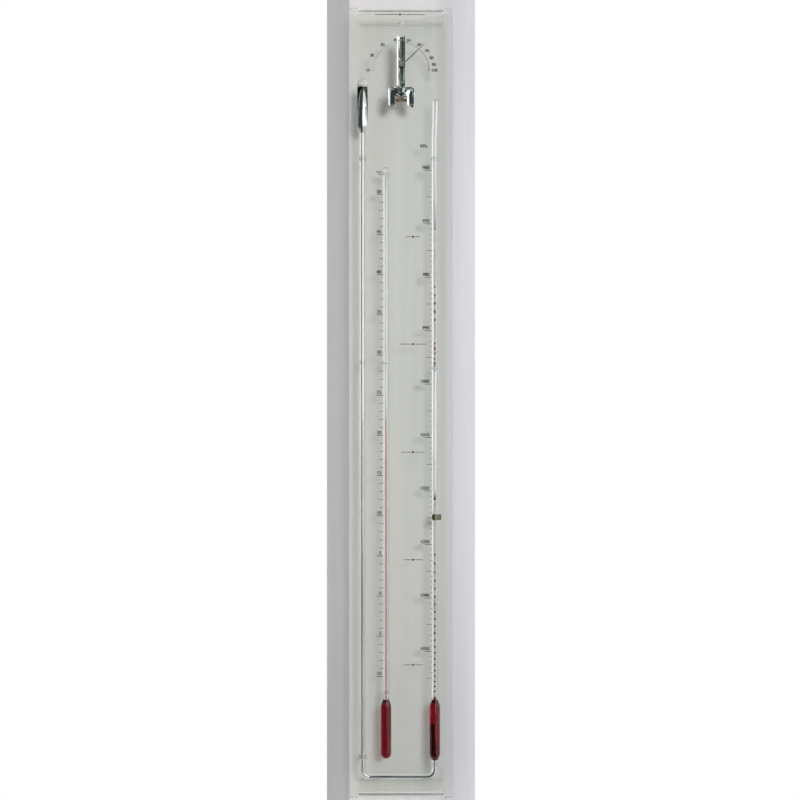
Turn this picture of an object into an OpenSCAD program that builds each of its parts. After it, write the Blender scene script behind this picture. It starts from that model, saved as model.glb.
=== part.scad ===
// Folded two-liquid barometer with a spirit thermometer and a hair hygrometer on one clear plate
// Front faces -Y, up is +Z, and the origin is the centre of the hanging hole

/* [Plate] */
// Width of the clear plate
plate_w = 130; // [120:1:160]
// Height of the clear plate
plate_h = 1000; // [985:5:1100]
// Thickness of the clear plate
plate_t = 4; // [3:0.5:6]
// Width of the flanges bent back at both ends
flange_w = 107; // [80:1:112]
// Depth from the front face to the wall
wall_gap = 50; // [30:1:70]
// Outer radius of the bends
bend_r = 7; // [6.5:0.5:12]
// Width of the relief slits beside the bends
slit_w = 1.5; // [1:0.1:3]
// Chamfer along the long edges
edge_chamfer = 0.4; // [0.2:0.1:0.8]
// Diameter of the hanging hole
hang_d = 6.5; // [5:0.1:9]
// Distance from the top edge down to the hanging hole
hang_drop = 21; // [16:0.5:22]

/* [Barometer glass] */
// Outer diameter of the glass tubes
tube_d = 7.2; // [6.8:0.1:7.6]
// Bore of the barometer tube
tube_bore = 2; // [1.8:0.1:2.4]
// Outer diameter of the bulbs
bulb_d = 13.4; // [12.6:0.1:14.2]
// Wall of the bulbs
bulb_wall = 0.9; // [0.7:0.1:1.2]
// Gap between a bulb and the plate
bulb_gap = 0.3; // [0.3:0.1:1]
// Place of the long limb across the plate
long_x = -48.5; // [-52:0.5:-46]
// Place of the scale limb across the plate
scale_x = 42.6; // [38:0.1:50]
// Radius of the two bottom bends
fold_r = 10; // [8:0.5:12]
// Height of the bottom run above the lower edge
run_h = 28.9; // [24:0.1:32]
// Height of the neck under the top bulb
top_neck_h = 838.5; // [820:0.5:845]
// Length of each drawn shoulder between tube and bulb
shoulder_l = 11; // [8:0.5:14]
// Length of the top bulb above its neck
top_bulb_l = 69.1; // [56:0.1:74]
// Straight tube between the bottom bend and the lower neck of the bottom bulb
cistern_rise = 9.1; // [8.5:0.1:13]
// Length of the bottom bulb between its two necks
cistern_l = 80; // [70:0.5:84]
// Height of the open end of the scale limb
tip_h = 881; // [870:0.5:890]
// Diameter of the slightly widened open end
tip_d = 7.6; // [7.4:0.1:9]
// Length of the widened open end
tip_l = 34; // [20:1:40]

/* [Liquids] */
// Height of the empty space above the mercury in the top bulb
vacuum_l = 8.6; // [7:0.1:40]
// Depth of the mercury above the lower neck of the bottom bulb
mercury_low_fill = 48; // [22:1:62]
// Thickness of the red liquid round the mercury
red_coat = 0.7; // [0.5:0.1:1]
// Clearance between a liquid and its glass
fill_gap = 0.1; // [0.05:0.05:0.2]
// Height of the top of the red column
red_top_h = 377.6; // [250:0.1:450]
// Lower end of the broken thread
broken_low_h = 551.5; // [550:0.5:560]
// Upper end of the broken thread
broken_top_h = 717.5; // [660:0.5:760]
// Radius of the clear core of a pale thread
thread_core_r = 0.55; // [0.5:0.05:0.7]
// Radius of one droplet in the thread
droplet_r = 0.45; // [0.3:0.05:0.5]
// Length of a small droplet
droplet_l = 2.4; // [1.6:0.1:3]
// Length of a large droplet
big_droplet_l = 4.6; // [3.5:0.1:5]

/* [Thermometer] */
// Place of the thermometer across the plate
thermo_x = -18.9; // [-25:0.1:-12]
// Height of the bottom of its bulb
thermo_low_h = 52.2; // [40:0.1:60]
// Length of its bulb up to the neck
thermo_bulb_l = 76; // [60:0.5:90]
// Height of its closed top
thermo_top_h = 796.4; // [780:0.1:810]
// Bore of its stem
thermo_bore = 1; // [0.8:0.1:1.4]
// Height of the red thread
spirit_top_h = 472; // [200:1:760]

/* [Saddles and ties] */
// Width of one clear saddle
saddle_w = 6.4; // [5.8:0.1:6.6]
// Height of one clear saddle
saddle_h = 6; // [4:0.5:6.5]
// Clearance between glass and saddle
saddle_gap = 0.1; // [0.05:0.05:0.3]
// How far a saddle's horns reach round the glass
horn_l = 1.2; // [0.6:0.1:1.4]
// Thickness of the tie wire
tie_wire = 0.8; // [0.5:0.1:0.9]
// Clearance between glass and tie
tie_gap = 0.1; // [0.05:0.05:0.3]
// Clearance of a tie hole round its wire
tie_hole_gap = 0.2; // [0.1:0.05:0.4]
// Diameter of the twisted tail behind the plate
tail_d = 1.5; // [1.2:0.1:2]
// Length of the twisted tail
tail_l = 4; // [2:0.5:8]
// Distance from the top bulb's neck down to the upper tie of the long limb
neck_tie_drop = 30.5; // [20:0.5:60]
// Distance from the widened open end down to the upper tie of the scale limb
tip_tie_drop = 39; // [20:0.5:60]
// Height of the middle tie of the long limb
long_mid_h = 551.3; // [540:0.1:560]
// Height of the middle tie of the scale limb
scale_mid_h = 543.8; // [535:0.1:546]
// Distance from a bend or neck to the nearest tie
tie_inset = 4.6; // [4:0.1:5]
// Height of the lowest tie of the long limb
long_low_h = 52.2; // [48:0.1:60]
// Height of the middle tie of the thermometer
thermo_mid_h = 550; // [500:1:600]

/* [Index clip] */
// Height of the index on the scale limb at rest
index_h = 355.9; // [200:0.1:500]
// Length of the index along the tube
index_l = 7.2; // [5:0.1:10]
// Sheet thickness of the index
index_t = 0.6; // [0.4:0.1:0.8]
// Running clearance on the glass
index_gap = 0.06; // [0.03:0.01:0.1]
// Angle of tube that the index wraps
index_wrap = 236; // [200:2:280]
// Length of its two pinched ears
ear_l = 4.2; // [2:0.1:6]
// Gap between the ears
ear_slot = 0.3; // [0.2:0.1:0.6]

/* [Hygrometer frame] */
// Distance from the hanging hole down to the pointer's pivot
pivot_drop = 58; // [54:0.5:62]
// Distance from the plate to the back of the fork
fork_out = 12.5; // [12:0.1:16]
// Thickness of the fork
fork_t = 6; // [4:0.5:8]
// Overall width of the fork
fork_w = 33.4; // [33:0.1:38]
// Width of one prong
prong_w = 9.5; // [8.8:0.1:10]
// Length of the prongs below the yoke
prong_l = 10.8; // [10.5:0.1:14]
// Height of the yoke
yoke_h = 11; // [9:0.1:12]
// Radius of the fork's shoulders
shoulder_r = 5.2; // [5:0.1:7.5]
// Depth of the bevel along the fork's front edges
fork_bevel = 0.4; // [0.2:0.1:0.5]
// Width of the rim beside the fork's trough
fork_rim = 0.9; // [0.7:0.1:1.2]
// Thickness of the fork's floor behind its trough
fork_floor = 1.4; // [1:0.1:2]
// Corner radius inside the troughs of fork and column
trough_r = 2; // [1.5:0.1:2.2]
// Gap between the fork's trough and the column's foot
pad_gap = 0.3; // [0.1:0.1:1]
// Distance from the pivot down to the yoke
yoke_drop = 27.2; // [27:0.1:33]
// Width of the channelled column
column_w = 10; // [9.6:0.1:12]
// Depth of the column
column_d = 6; // [5.6:0.1:8]
// Sheet thickness of the column
column_t = 1; // [0.8:0.1:1.2]
// Height of the column above the pivot
column_up = 34.6; // [34:0.1:40]
// Length of the flat foot that lies on the yoke
foot_l = 7.6; // [6.5:0.1:8.5]
// Width of the flat foot
foot_w = 8.4; // [7.6:0.1:9.4]

/* [Hygrometer fasteners] */
// Diameter of the two stand-off posts
post_d = 6; // [5:0.1:6.5]
// Thread diameter of the post screws
post_screw_d = 3; // [2.5:0.1:3.2]
// Clearance of a screw in its hole
screw_gap = 0.1; // [0.05:0.05:0.2]
// Depth that a screw reaches into its post
screw_grip = 5; // [3:0.1:5.5]
// Place of the posts across the plate
post_x = 1.6; // [1.4:0.1:1.8]
// Distance from the yoke's top edge down to the lower screw
yoke_screw_drop = 3.9; // [3.4:0.1:4.2]
// Distance between the two screws
screw_pitch = 10.3; // [9:0.1:11]
// Head diameter of the yoke screw
yoke_head_d = 6.2; // [5:0.1:6.4]
// Head diameter of the column screw
column_head_d = 4.4; // [4:0.1:4.6]
// Height of the domed heads
dome_head_h = 1.9; // [1.2:0.1:2]
// Head diameter of the screws behind the plate
back_head_d = 5.6; // [5:0.1:6]
// Height of the heads behind the plate
back_head_h = 2; // [1.5:0.1:3]
// Outer diameter of the washers behind the plate
washer_d = 8; // [7:0.1:9]
// Thickness of the washers
washer_t = 0.6; // [0.4:0.1:1]

/* [Pointer] */
// Angle of the pointer above the horizontal at rest
rest_angle = 43.5; // [0:0.5:180]
// Length of the needle from the pivot
needle_l = 41; // [36:0.5:44]
// Width of the needle at the hub
needle_w = 1.2; // [0.9:0.1:1.6]
// Width of the needle at its tip
needle_tip_w = 0.4; // [0.3:0.1:0.6]
// Thickness of the needle
needle_t = 0.3; // [0.2:0.05:0.5]
// Distance from the plate to the needle
needle_out = 16; // [15.4:0.1:16.4]
// Diameter of the spindle
spindle_d = 1; // [0.8:0.05:1.2]
// Running clearance of the spindle
spindle_gap = 0.03; // [0.01:0.01:0.08]
// Clearance of a piece fixed on the spindle
seat_gap = 0.01; // [0.01:0.01:0.03]
// Diameter of the pointer hub
hub_d = 3.6; // [3:0.1:4]
// Length of the pointer hub behind the needle
hub_l = 1.4; // [1:0.1:2]
// Distance of the counterweight from the pivot
counter_out = 5; // [4.6:0.1:6]
// Diameter of the counterweight
counter_d = 3; // [2.4:0.1:3.4]
// Length of the counterweight
counter_l = 1.5; // [1:0.1:2]
// Diameter of the hair drum
drum_d = 1.8; // [1.6:0.1:2]
// Length of the hair drum
drum_l = 1.6; // [1.2:0.1:2]
// Outer diameter of the rear bush
bush_d = 3; // [2.6:0.1:3.4]
// Flange diameter of the rear bush
bush_flange_d = 3.8; // [3.4:0.1:3.9]
// Thickness of the bush flange
bush_flange_t = 0.5; // [0.4:0.1:0.6]
// Height of the front bearing bridge
bridge_h = 6; // [4:0.1:8]
// Thickness of the front bearing bridge
bridge_t = 1; // [0.8:0.1:1.2]
// Distance from the column's front edge to the bridge
bridge_inset = 1; // [0.6:0.1:1.2]

/* [Hair and spring] */
// Thickness of the hair bundle
hair_d = 0.5; // [0.4:0.05:0.6]
// Clearance between the hair and the drum
hair_gap = 0.05; // [0.03:0.01:0.1]
// Diameter of the two ferrules
ferrule_d = 1.6; // [1.4:0.1:1.8]
// Length of a ferrule
ferrule_l = 2.2; // [1.8:0.1:2.4]
// Distance from the pivot up to the upper ferrule
upper_ferrule_up = 4.6; // [4.2:0.1:5]
// Mean diameter of the tension spring
spring_d = 3.4; // [3:0.1:3.6]
// Wire of the tension spring
spring_wire = 0.5; // [0.4:0.05:0.55]
// Number of curls
spring_turns = 9; // [6:1:10]
// Rise of one curl
spring_pitch = 1.3; // [1.2:0.05:1.4]
// Diameter of the anchor pin
anchor_d = 1.5; // [1.2:0.1:1.8]
// Distance from the column's top down to the anchor pin
anchor_drop = 2.6; // [2.4:0.1:3.2]
// Head diameter of the anchor pin
anchor_head_d = 2.6; // [2.4:0.1:3]

/* [Adjustment] */
// Width of the adjusting lever's bar
lever_w = 3; // [2.4:0.1:3.2]
// Thickness of the lever's bar
lever_t = 2.5; // [2:0.1:2.8]
// Gap between lever and fork
lever_gap = 0.5; // [0.3:0.1:0.6]
// Distance from the yoke's lower edge down to the lever
lever_drop = 1.6; // [1.2:0.1:2]
// Distance from the lower ends of the prongs up to the lever's pivot
lever_pivot_up = 2.5; // [2.2:0.1:2.6]
// Place of the lever's pivot across the plate
lever_pivot_x = -11.9; // [-12.4:0.1:-11.8]
// Diameter of the pivot screw
pivot_screw_d = 2; // [1.6:0.1:2.2]
// Width of the lever's pivot ear
ear_w = 4.4; // [4:0.1:4.6]
// Place of the lever's forward arm
arm_x = -3; // [-3.4:0.1:-2.8]
// Diameter of the adjusting screw
adjuster_d = 1.8; // [1.6:0.1:2]
// Place of the adjusting screw across the plate
adjuster_x = 14; // [13.8:0.1:14.2]
// Head diameter of the adjusting screw
adjuster_head_d = 2.8; // [2.6:0.1:3.2]
// Head height of the adjusting screw
adjuster_head_h = 2.2; // [1.6:0.1:3]
// Clearance of the lever's hole round the adjusting screw
adjuster_slack = 0.2; // [0.16:0.02:0.3]
// Width of the stop block
block_w = 5.8; // [5.4:0.1:6.2]
// Height of the stop block
block_h = 3.6; // [3:0.1:3.8]
// Diameter of the rivet that holds the stop block
rivet_d = 1.2; // [1:0.1:1.2]
// Place of the rivet across the plate
rivet_x = 12.1; // [11.9:0.1:12.1]
// Head diameter of the small front heads
small_head_d = 2.6; // [2.4:0.1:3]
// Height of the small front heads
small_head_h = 1; // [0.6:0.1:1.4]

/* [Hidden] */
$fn = 48;
tiny = 0.01;
foot_z = hang_drop - plate_h;
face_y = -plate_t / 2;
rear_y = plate_t / 2;
bend_inner_r = bend_r - plate_t;
slit_l = bend_r + 2;

tube_r = tube_d / 2;
bore_r = tube_bore / 2;
bulb_r = bulb_d / 2;
bulb_in_r = bulb_r - bulb_wall;
tube_y = face_y - bulb_r - bulb_gap;
fold_top_h = run_h + fold_r;
top_h = top_neck_h + top_bulb_l;
mercury_top_h = top_h - vacuum_l;
cistern_h = fold_top_h + cistern_rise;
cistern_top_h = cistern_h + cistern_l;
mercury_low_h = cistern_h + mercury_low_fill;
thermo_neck_h = thermo_low_h + thermo_bulb_l;
thermo_in_r = thermo_bore / 2;
shoulder_steps = 10;
dome_steps = 10;
tip_chamfer = 1;

tie_r = tube_r + tie_gap + tie_wire / 2;
tie_back_y = rear_y + tie_wire / 2 + tie_gap;
long_ties = [long_low_h, long_mid_h, top_neck_h - neck_tie_drop];
scale_ties = [fold_top_h + tie_inset, scale_mid_h, tip_h - tip_l - tip_tie_drop];
thermo_ties = [thermo_neck_h + tie_inset, thermo_mid_h, thermo_top_h - tube_r - saddle_h / 2 - 0.4];

index_r = tube_r + index_gap;
index_low_travel = index_h - index_l / 2 - cistern_top_h - 2;
index_high_travel = scale_mid_h - saddle_h / 2 - index_h - index_l / 2 - 0.6;

column_out = fork_out + fork_t;
column_front = column_out + column_d;
web_front = column_out + column_t;
foot_top = -yoke_drop;
yoke_low = -yoke_drop - yoke_h;
prong_low = yoke_low - prong_l;
yoke_screw_z = -yoke_drop - yoke_screw_drop;
column_screw_z = yoke_screw_z + screw_pitch;
bridge_out = column_front - bridge_inset - bridge_t;
spindle_rear = needle_out - hub_l - 0.4;
spindle_front = bridge_out + bridge_t + 0.4;
drum_out = (web_front + bush_flange_t + bridge_out - drum_l) / 2;
hair_out = drum_out + drum_l / 2;
wrap_r = drum_d / 2 + hair_gap + hair_d / 2;
wrap_rings = 24;
wrap_clear = 0.45;
wrap_shift = (hair_d + wrap_clear) / 2;
hair_low_out = hair_out - wrap_shift;
spring_out = hair_out + wrap_shift;
hair_low_gap = 0.3;
anchor_z = column_up - anchor_drop;
anchor_gap = 0.05;
anchor_head_t = 0.6;

floor_out = fork_out + fork_floor;
seat_slack = 0.15;

lever_top = yoke_low - lever_drop;
lever_low = lever_top - lever_w;
lever_front = fork_out - lever_gap;
lever_rear = lever_front - lever_t;
lever_mid = (lever_front + lever_rear) / 2;
lever_pivot_z = prong_low + lever_pivot_up;
lever_end = 2.2;
arm_w = 3;
arm_front = hair_low_out + ferrule_d / 2 + 0.6;
block_low = lever_pivot_z - block_h / 2 + 0.4;
block_rear = lever_mid - adjuster_d / 2 - 1.2;
adjuster_gap = 0.06;
head_seat = 0.1;
nut_gap = 0.3;
nut_t = 1.6;
nut_across = 4;
adjuster_pitch = 0.4;

// Outline of a drawn shoulder from radius r0 at height z0 to radius r1 at height z1
function shoulder(r0, z0, r1, z1) = [
    for (i = [0 : shoulder_steps])
        let (t = i / shoulder_steps)
        [r0 + (r1 - r0) * (1 - cos(180 * t)) / 2, z0 + (z1 - z0) * t]
];

// Outline of a round end from the side to the axis, upwards or downwards
function round_end(r, z, up) = [
    for (i = [0 : dome_steps])
        let (a = 90 * i / dome_steps)
        [r * cos(a), z + up * r * sin(a)]
];

function reversed(list) = [for (i = [len(list) - 1 : -1 : 0]) list[i]];

// Half outline of the long limb, for the glass, its inside or the mercury
function long_outline(r_tube, r_bulb) = concat(
    [[0, fold_top_h], [r_tube, fold_top_h]],
    shoulder(r_tube, top_neck_h, r_bulb, top_neck_h + shoulder_l),
    round_end(r_bulb, top_h - bulb_r, 1)
);

// Half outline of the bottom bulb with a short stretch of tube at each end
function cistern_outline(r_tube, r_bulb, z_low, z_high) = concat(
    [[0, z_low], [r_tube, z_low]],
    shoulder(r_tube, cistern_h, r_bulb, cistern_h + shoulder_l),
    shoulder(r_bulb, cistern_top_h - shoulder_l, r_tube, cistern_top_h),
    [[r_tube, z_high], [0, z_high]]
);

// Half outline of the thermometer
function thermo_outline(r_stem, r_bulb, z_high) = concat(
    reversed(round_end(r_bulb, thermo_low_h + bulb_r, -1)),
    shoulder(r_bulb, thermo_neck_h - shoulder_l, r_stem, thermo_neck_h),
    [[r_stem, z_high], [0, z_high]]
);

module above_foot() {
    translate([0, 0, foot_z]) children();
}

// A solid of revolution round a tube's axis, heights counted from the lower edge
module on_tube(x) {
    above_foot() translate([x, tube_y, 0]) rotate_extrude() children();
}

// A straight hole or pin through the thickness, from the given front to the given depth
module along_depth(x, y_front, z, length, r) {
    translate([x, y_front, z]) rotate([-90, 0, 0]) cylinder(h = length, r = r);
}

// The two bends and the run that join the limbs at the bottom
module bottom_fold(r) {
    above_foot() translate([long_x + fold_r, tube_y, fold_top_h])
        rotate([90, 0, 0]) rotate([0, 0, 180])
            rotate_extrude(angle = 90) translate([fold_r, 0]) circle(r = r);
    above_foot() translate([scale_x - fold_r, tube_y, fold_top_h])
        rotate([90, 0, 0]) rotate([0, 0, 270])
            rotate_extrude(angle = 90) translate([fold_r, 0]) circle(r = r);
    above_foot() translate([long_x + fold_r, tube_y, run_h])
        rotate([0, 90, 0]) cylinder(h = scale_x - long_x - 2 * fold_r, r = r);
}

// Plate

module bent_flange() {
    translate([-flange_w / 2, 0, 0]) {
        translate([0, rear_y + bend_inner_r, -plate_t])
            cube([flange_w, wall_gap - bend_r, plate_t]);
        translate([0, rear_y + bend_inner_r, -bend_r])
            rotate([0, 90, 0]) linear_extrude(flange_w)
                intersection() {
                    difference() {
                        circle(r = bend_r);
                        circle(r = bend_inner_r);
                    }
                    translate([-bend_r, -bend_r]) square(bend_r);
                }
    }
}

module plate_slab() {
    c = edge_chamfer;
    half = plate_w / 2;
    linear_extrude(plate_h) polygon([
        [-half + c, face_y], [half - c, face_y], [half, face_y + c], [half, rear_y - c],
        [half - c, rear_y], [-half + c, rear_y], [-half, rear_y - c], [-half, face_y + c]
    ]);
}

module end_cutout() {
    translate([-flange_w / 2 - slit_w, face_y - 1, -bend_r])
        cube([flange_w + 2 * slit_w, plate_t + 2, bend_r + 1]);
    for (side = [-1, 1])
        translate([side * (flange_w / 2 + slit_w / 2) - slit_w / 2, face_y - 1, -slit_l])
            cube([slit_w, plate_t + 2, slit_l + 1]);
}

module tie_holes(x, heights) {
    for (h = heights, side = [-1, 1])
        along_depth(x + side * tie_r, face_y - 1, foot_z + h, plate_t + 2, tie_wire / 2 + tie_hole_gap);
}

module backplate() {
    color([0.86, 0.93, 0.92, 0.35]) difference() {
        above_foot() {
            difference() {
                plate_slab();
                translate([0, 0, plate_h]) end_cutout();
                mirror([0, 0, 1]) end_cutout();
            }
            translate([0, 0, plate_h]) bent_flange();
            mirror([0, 0, 1]) bent_flange();
        }
        along_depth(0, face_y - 1, 0, plate_t + 2, hang_d / 2);
        tie_holes(long_x, long_ties);
        tie_holes(scale_x, scale_ties);
        tie_holes(thermo_x, thermo_ties);
        for (z = [yoke_screw_z, column_screw_z])
            along_depth(post_x, face_y - 1, pivot_z() + z, plate_t + 2, post_screw_d / 2 + screw_gap);
    }
}

// Barometer glass and its liquids

module barometer_tube() {
    color([0.88, 0.94, 0.93, 0.45]) difference() {
        union() {
            on_tube(long_x) polygon(long_outline(tube_r, bulb_r));
            on_tube(scale_x) polygon(concat(
                [[0, fold_top_h], [tube_r, fold_top_h]],
                shoulder(tube_r, cistern_h, bulb_r, cistern_h + shoulder_l),
                shoulder(bulb_r, cistern_top_h - shoulder_l, tube_r, cistern_top_h),
                shoulder(tube_r, tip_h - tip_l, tip_d / 2, tip_h - tip_l + shoulder_l),
                [[tip_d / 2, tip_h - tip_chamfer], [tip_d / 2 - tip_chamfer, tip_h], [0, tip_h]]
            ));
            bottom_fold(tube_r);
        }
        on_tube(long_x) polygon(long_outline(bore_r, bulb_in_r));
        on_tube(scale_x) polygon(cistern_outline(bore_r, bulb_in_r, fold_top_h, tip_h + 1));
        bottom_fold(bore_r);
    }
}

module mercury_fill() {
    r = bore_r - fill_gap;
    color([0.75, 0.76, 0.78]) union() {
        on_tube(long_x) intersection() {
            polygon(long_outline(r, bulb_in_r - fill_gap));
            square([bulb_r, mercury_top_h]);
        }
        bottom_fold(r);
        on_tube(scale_x) intersection() {
            polygon(cistern_outline(r, bulb_in_r - fill_gap - red_coat, fold_top_h, mercury_low_h + 1));
            square([bulb_r, mercury_low_h]);
        }
    }
}

module red_liquid() {
    coat_low_h = cistern_h + shoulder_l / 2;
    color([0.42, 0.03, 0.06]) on_tube(scale_x) difference() {
        intersection() {
            polygon(cistern_outline(bore_r - fill_gap, bulb_in_r - fill_gap, fold_top_h, cistern_top_h + 2));
            translate([0, coat_low_h]) square([bulb_r, cistern_l]);
        }
        intersection() {
            polygon(cistern_outline(bore_r, bulb_in_r - red_coat, fold_top_h, tip_h));
            square([bulb_r, mercury_low_h + fill_gap]);
        }
    }
}

module thread_stretch(low_h, high_h) {
    on_tube(scale_x) translate([thread_core_r, low_h])
        square([bore_r - fill_gap - thread_core_r, high_h - low_h]);
}

module pale_thread() {
    color([0.92, 0.55, 0.58]) {
        thread_stretch(cistern_top_h + 2 + fill_gap, red_top_h);
        thread_stretch(broken_low_h, broken_top_h);
    }
}

module droplet(h, length) {
    on_tube(scale_x) polygon([
        [0, h - length / 2], [droplet_r * 0.6, h - length / 2], [droplet_r, h - length / 2 + droplet_r],
        [droplet_r, h + length / 2 - droplet_r], [droplet_r * 0.6, h + length / 2], [0, h + length / 2]
    ]);
}

module thread_droplets() {
    // The lower droplets stand further apart as they rise
    color([0.5, 0.04, 0.08]) {
        for (k = [0 : 20])
            droplet(cistern_top_h + 9 + 6 * k + 0.13 * k * k, droplet_l);
        for (k = [0 : 4])
            droplet(broken_low_h + 52.7 + 10.4 * k, k == 1 ? big_droplet_l : droplet_l);
        for (k = [0 : 3])
            droplet(broken_low_h + 4 + 6.4 * k, k == 2 ? big_droplet_l : droplet_l);
    }
}

// Thermometer

module thermometer_tube() {
    color([0.9, 0.95, 0.95, 0.45]) on_tube(thermo_x) difference() {
        polygon(concat(
            reversed(round_end(bulb_r, thermo_low_h + bulb_r, -1)),
            shoulder(bulb_r, thermo_neck_h - shoulder_l, tube_r, thermo_neck_h),
            round_end(tube_r, thermo_top_h - tube_r, 1)
        ));
        polygon(thermo_outline(thermo_in_r, bulb_in_r, thermo_top_h - 2 * tube_r));
    }
}

module thermometer_spirit() {
    color([0.4, 0.02, 0.05]) on_tube(thermo_x)
        polygon(thermo_outline(thermo_in_r - fill_gap, bulb_in_r - fill_gap, spirit_top_h));
}

// Saddles and ties

module saddle(x, h) {
    depth = bulb_r + bulb_gap - tube_r + horn_l;
    difference() {
        translate([x - saddle_w / 2, face_y - depth, foot_z + h - saddle_h / 2])
            cube([saddle_w, depth, saddle_h]);
        translate([x, tube_y, foot_z + h - saddle_h]) cylinder(h = 2 * saddle_h, r = tube_r + saddle_gap);
    }
}

module saddles(x, heights) {
    color([0.85, 0.92, 0.91, 0.5]) for (h = heights) saddle(x, h);
}

// A wire loop round the glass, with its legs through the plate and a twisted tail behind
module tie(x, h) {
    wire_r = tie_wire / 2;
    translate([x, 0, foot_z + h]) {
        translate([0, tube_y, 0]) rotate([0, 0, 180])
            rotate_extrude(angle = 180) translate([tie_r, 0]) circle(r = wire_r);
        for (side = [-1, 1]) {
            along_depth(side * tie_r, tube_y, 0, tie_back_y - tube_y, wire_r);
            translate([side * tie_r, tie_back_y, 0]) sphere(r = wire_r);
        }
        translate([-tie_r, tie_back_y, 0]) rotate([0, 90, 0]) cylinder(h = 2 * tie_r, r = wire_r);
        along_depth(0, tie_back_y, 0, tail_l, tail_d / 2);
    }
}

module ties(x, heights) {
    color([0.55, 0.56, 0.55]) for (h = heights) tie(x, h);
}

module long_limb_saddles() {
    saddles(long_x, long_ties);
}

module scale_limb_saddles() {
    saddles(scale_x, scale_ties);
}

module thermometer_saddles() {
    saddles(thermo_x, thermo_ties);
}

module long_limb_ties() {
    ties(long_x, long_ties);
}

module scale_limb_ties() {
    ties(scale_x, scale_ties);
}

module thermometer_ties() {
    ties(thermo_x, thermo_ties);
}

// Index clip

module index_clip() {
    outer_r = index_r + index_t;
    color([0.55, 0.55, 0.45]) above_foot() translate([scale_x, tube_y, index_h - index_l / 2]) {
        difference() {
            union() {
                rotate([0, 0, -index_wrap / 2]) rotate_extrude(angle = index_wrap)
                    translate([index_r, 0]) square([index_t, index_l]);
                translate([index_r + index_t / 2, -ear_slot / 2 - index_t, 0])
                    cube([ear_l, ear_slot + 2 * index_t, index_l]);
            }
            translate([outer_r + 0.2, -ear_slot / 2, -1]) cube([ear_l + 1, ear_slot, index_l + 2]);
        }
    }
}

// Hygrometer frame

function pivot_z() = -pivot_drop;

// Moves a shape to the pointer's pivot on the plate's front face
module at_pivot() {
    translate([0, face_y, pivot_z()]) children();
}

// A cylinder whose near end is at a distance in front of the plate
module stud(x, z, out, length, r) {
    along_depth(x, -out - length, z, length, r);
}

module bevelled_bar(width, length, thickness, bevel) {
    half = width / 2;
    linear_extrude(length) polygon([
        [-half, 0], [-half, -(thickness - bevel)], [-half + bevel, -thickness],
        [half - bevel, -thickness], [half, -(thickness - bevel)], [half, 0]
    ]);
}

// Section of a trough that is open to the front, with its floor at zero and round inner corners
module trough_section(width, depth) {
    half = width / 2;
    translate([-half, -depth]) square([width, depth - trough_r]);
    translate([-half + trough_r, -depth]) square([width - 2 * trough_r, depth]);
    for (side = [-1, 1])
        translate([side * (half - trough_r), -trough_r]) circle(r = trough_r);
}

// The trough runs down each prong and along the yoke to the pad for the column's foot
module fork_troughs() {
    depth = fork_t - fork_floor + 1;
    bend_x = fork_w / 2 - shoulder_r;
    bend_z = foot_top - shoulder_r;
    bend_out_r = shoulder_r - fork_rim;
    pad_half = foot_w / 2 + pad_gap;
    for (side = [0, 1]) mirror([side, 0, 0]) translate([0, -fork_out - fork_floor, 0]) {
        translate([(fork_w - prong_w) / 2, 0, prong_low - 1])
            linear_extrude(bend_z - prong_low + 1) trough_section(prong_w - 2 * fork_rim, depth);
        translate([pad_half, 0, yoke_low + yoke_h / 2]) rotate([0, 90, 0])
            linear_extrude(bend_x - pad_half) trough_section(yoke_h - 2 * fork_rim, depth);
        translate([bend_x, 0, bend_z]) rotate([90, 0, 0]) rotate_extrude(angle = 90) {
            square([bend_out_r - trough_r, depth]);
            translate([0, trough_r]) square([bend_out_r, depth - trough_r]);
            translate([bend_out_r - trough_r, trough_r]) circle(r = trough_r);
        }
    }
}

module fork_shape() {
    intersection() {
        translate([0, -fork_out, 0]) {
            for (side = [-1, 1])
                translate([side * (fork_w - prong_w) / 2, 0, prong_low])
                    bevelled_bar(prong_w, yoke_h + prong_l, fork_t, fork_bevel);
            translate([-fork_w / 2, 0, yoke_low + yoke_h / 2])
                rotate([0, 90, 0]) bevelled_bar(yoke_h, fork_w, fork_t, fork_bevel);
        }
        translate([0, 1, 0]) rotate([90, 0, 0]) linear_extrude(fork_out + fork_t + 2) {
            translate([-fork_w / 2, prong_low - 1])
                square([fork_w, yoke_h + prong_l + 1 - shoulder_r]);
            translate([-fork_w / 2 + shoulder_r, foot_top - shoulder_r - 1])
                square([fork_w - 2 * shoulder_r, shoulder_r + 1]);
            for (side = [-1, 1])
                translate([side * (fork_w / 2 - shoulder_r), foot_top - shoulder_r])
                    circle(r = shoulder_r);
        }
    }
}

module hygrometer_fork() {
    color([0.72, 0.74, 0.74]) at_pivot() difference() {
        fork_shape();
        fork_troughs();
        stud(post_x, yoke_screw_z, fork_out - 1, fork_t + 2, post_screw_d / 2 + screw_gap);
        stud(lever_pivot_x, lever_pivot_z, fork_out - 1, fork_t + 2, pivot_screw_d / 2 + screw_gap);
        stud(rivet_x, lever_pivot_z, fork_out - 1, fork_t + 2, rivet_d / 2 + seat_gap);
    }
}

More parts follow.
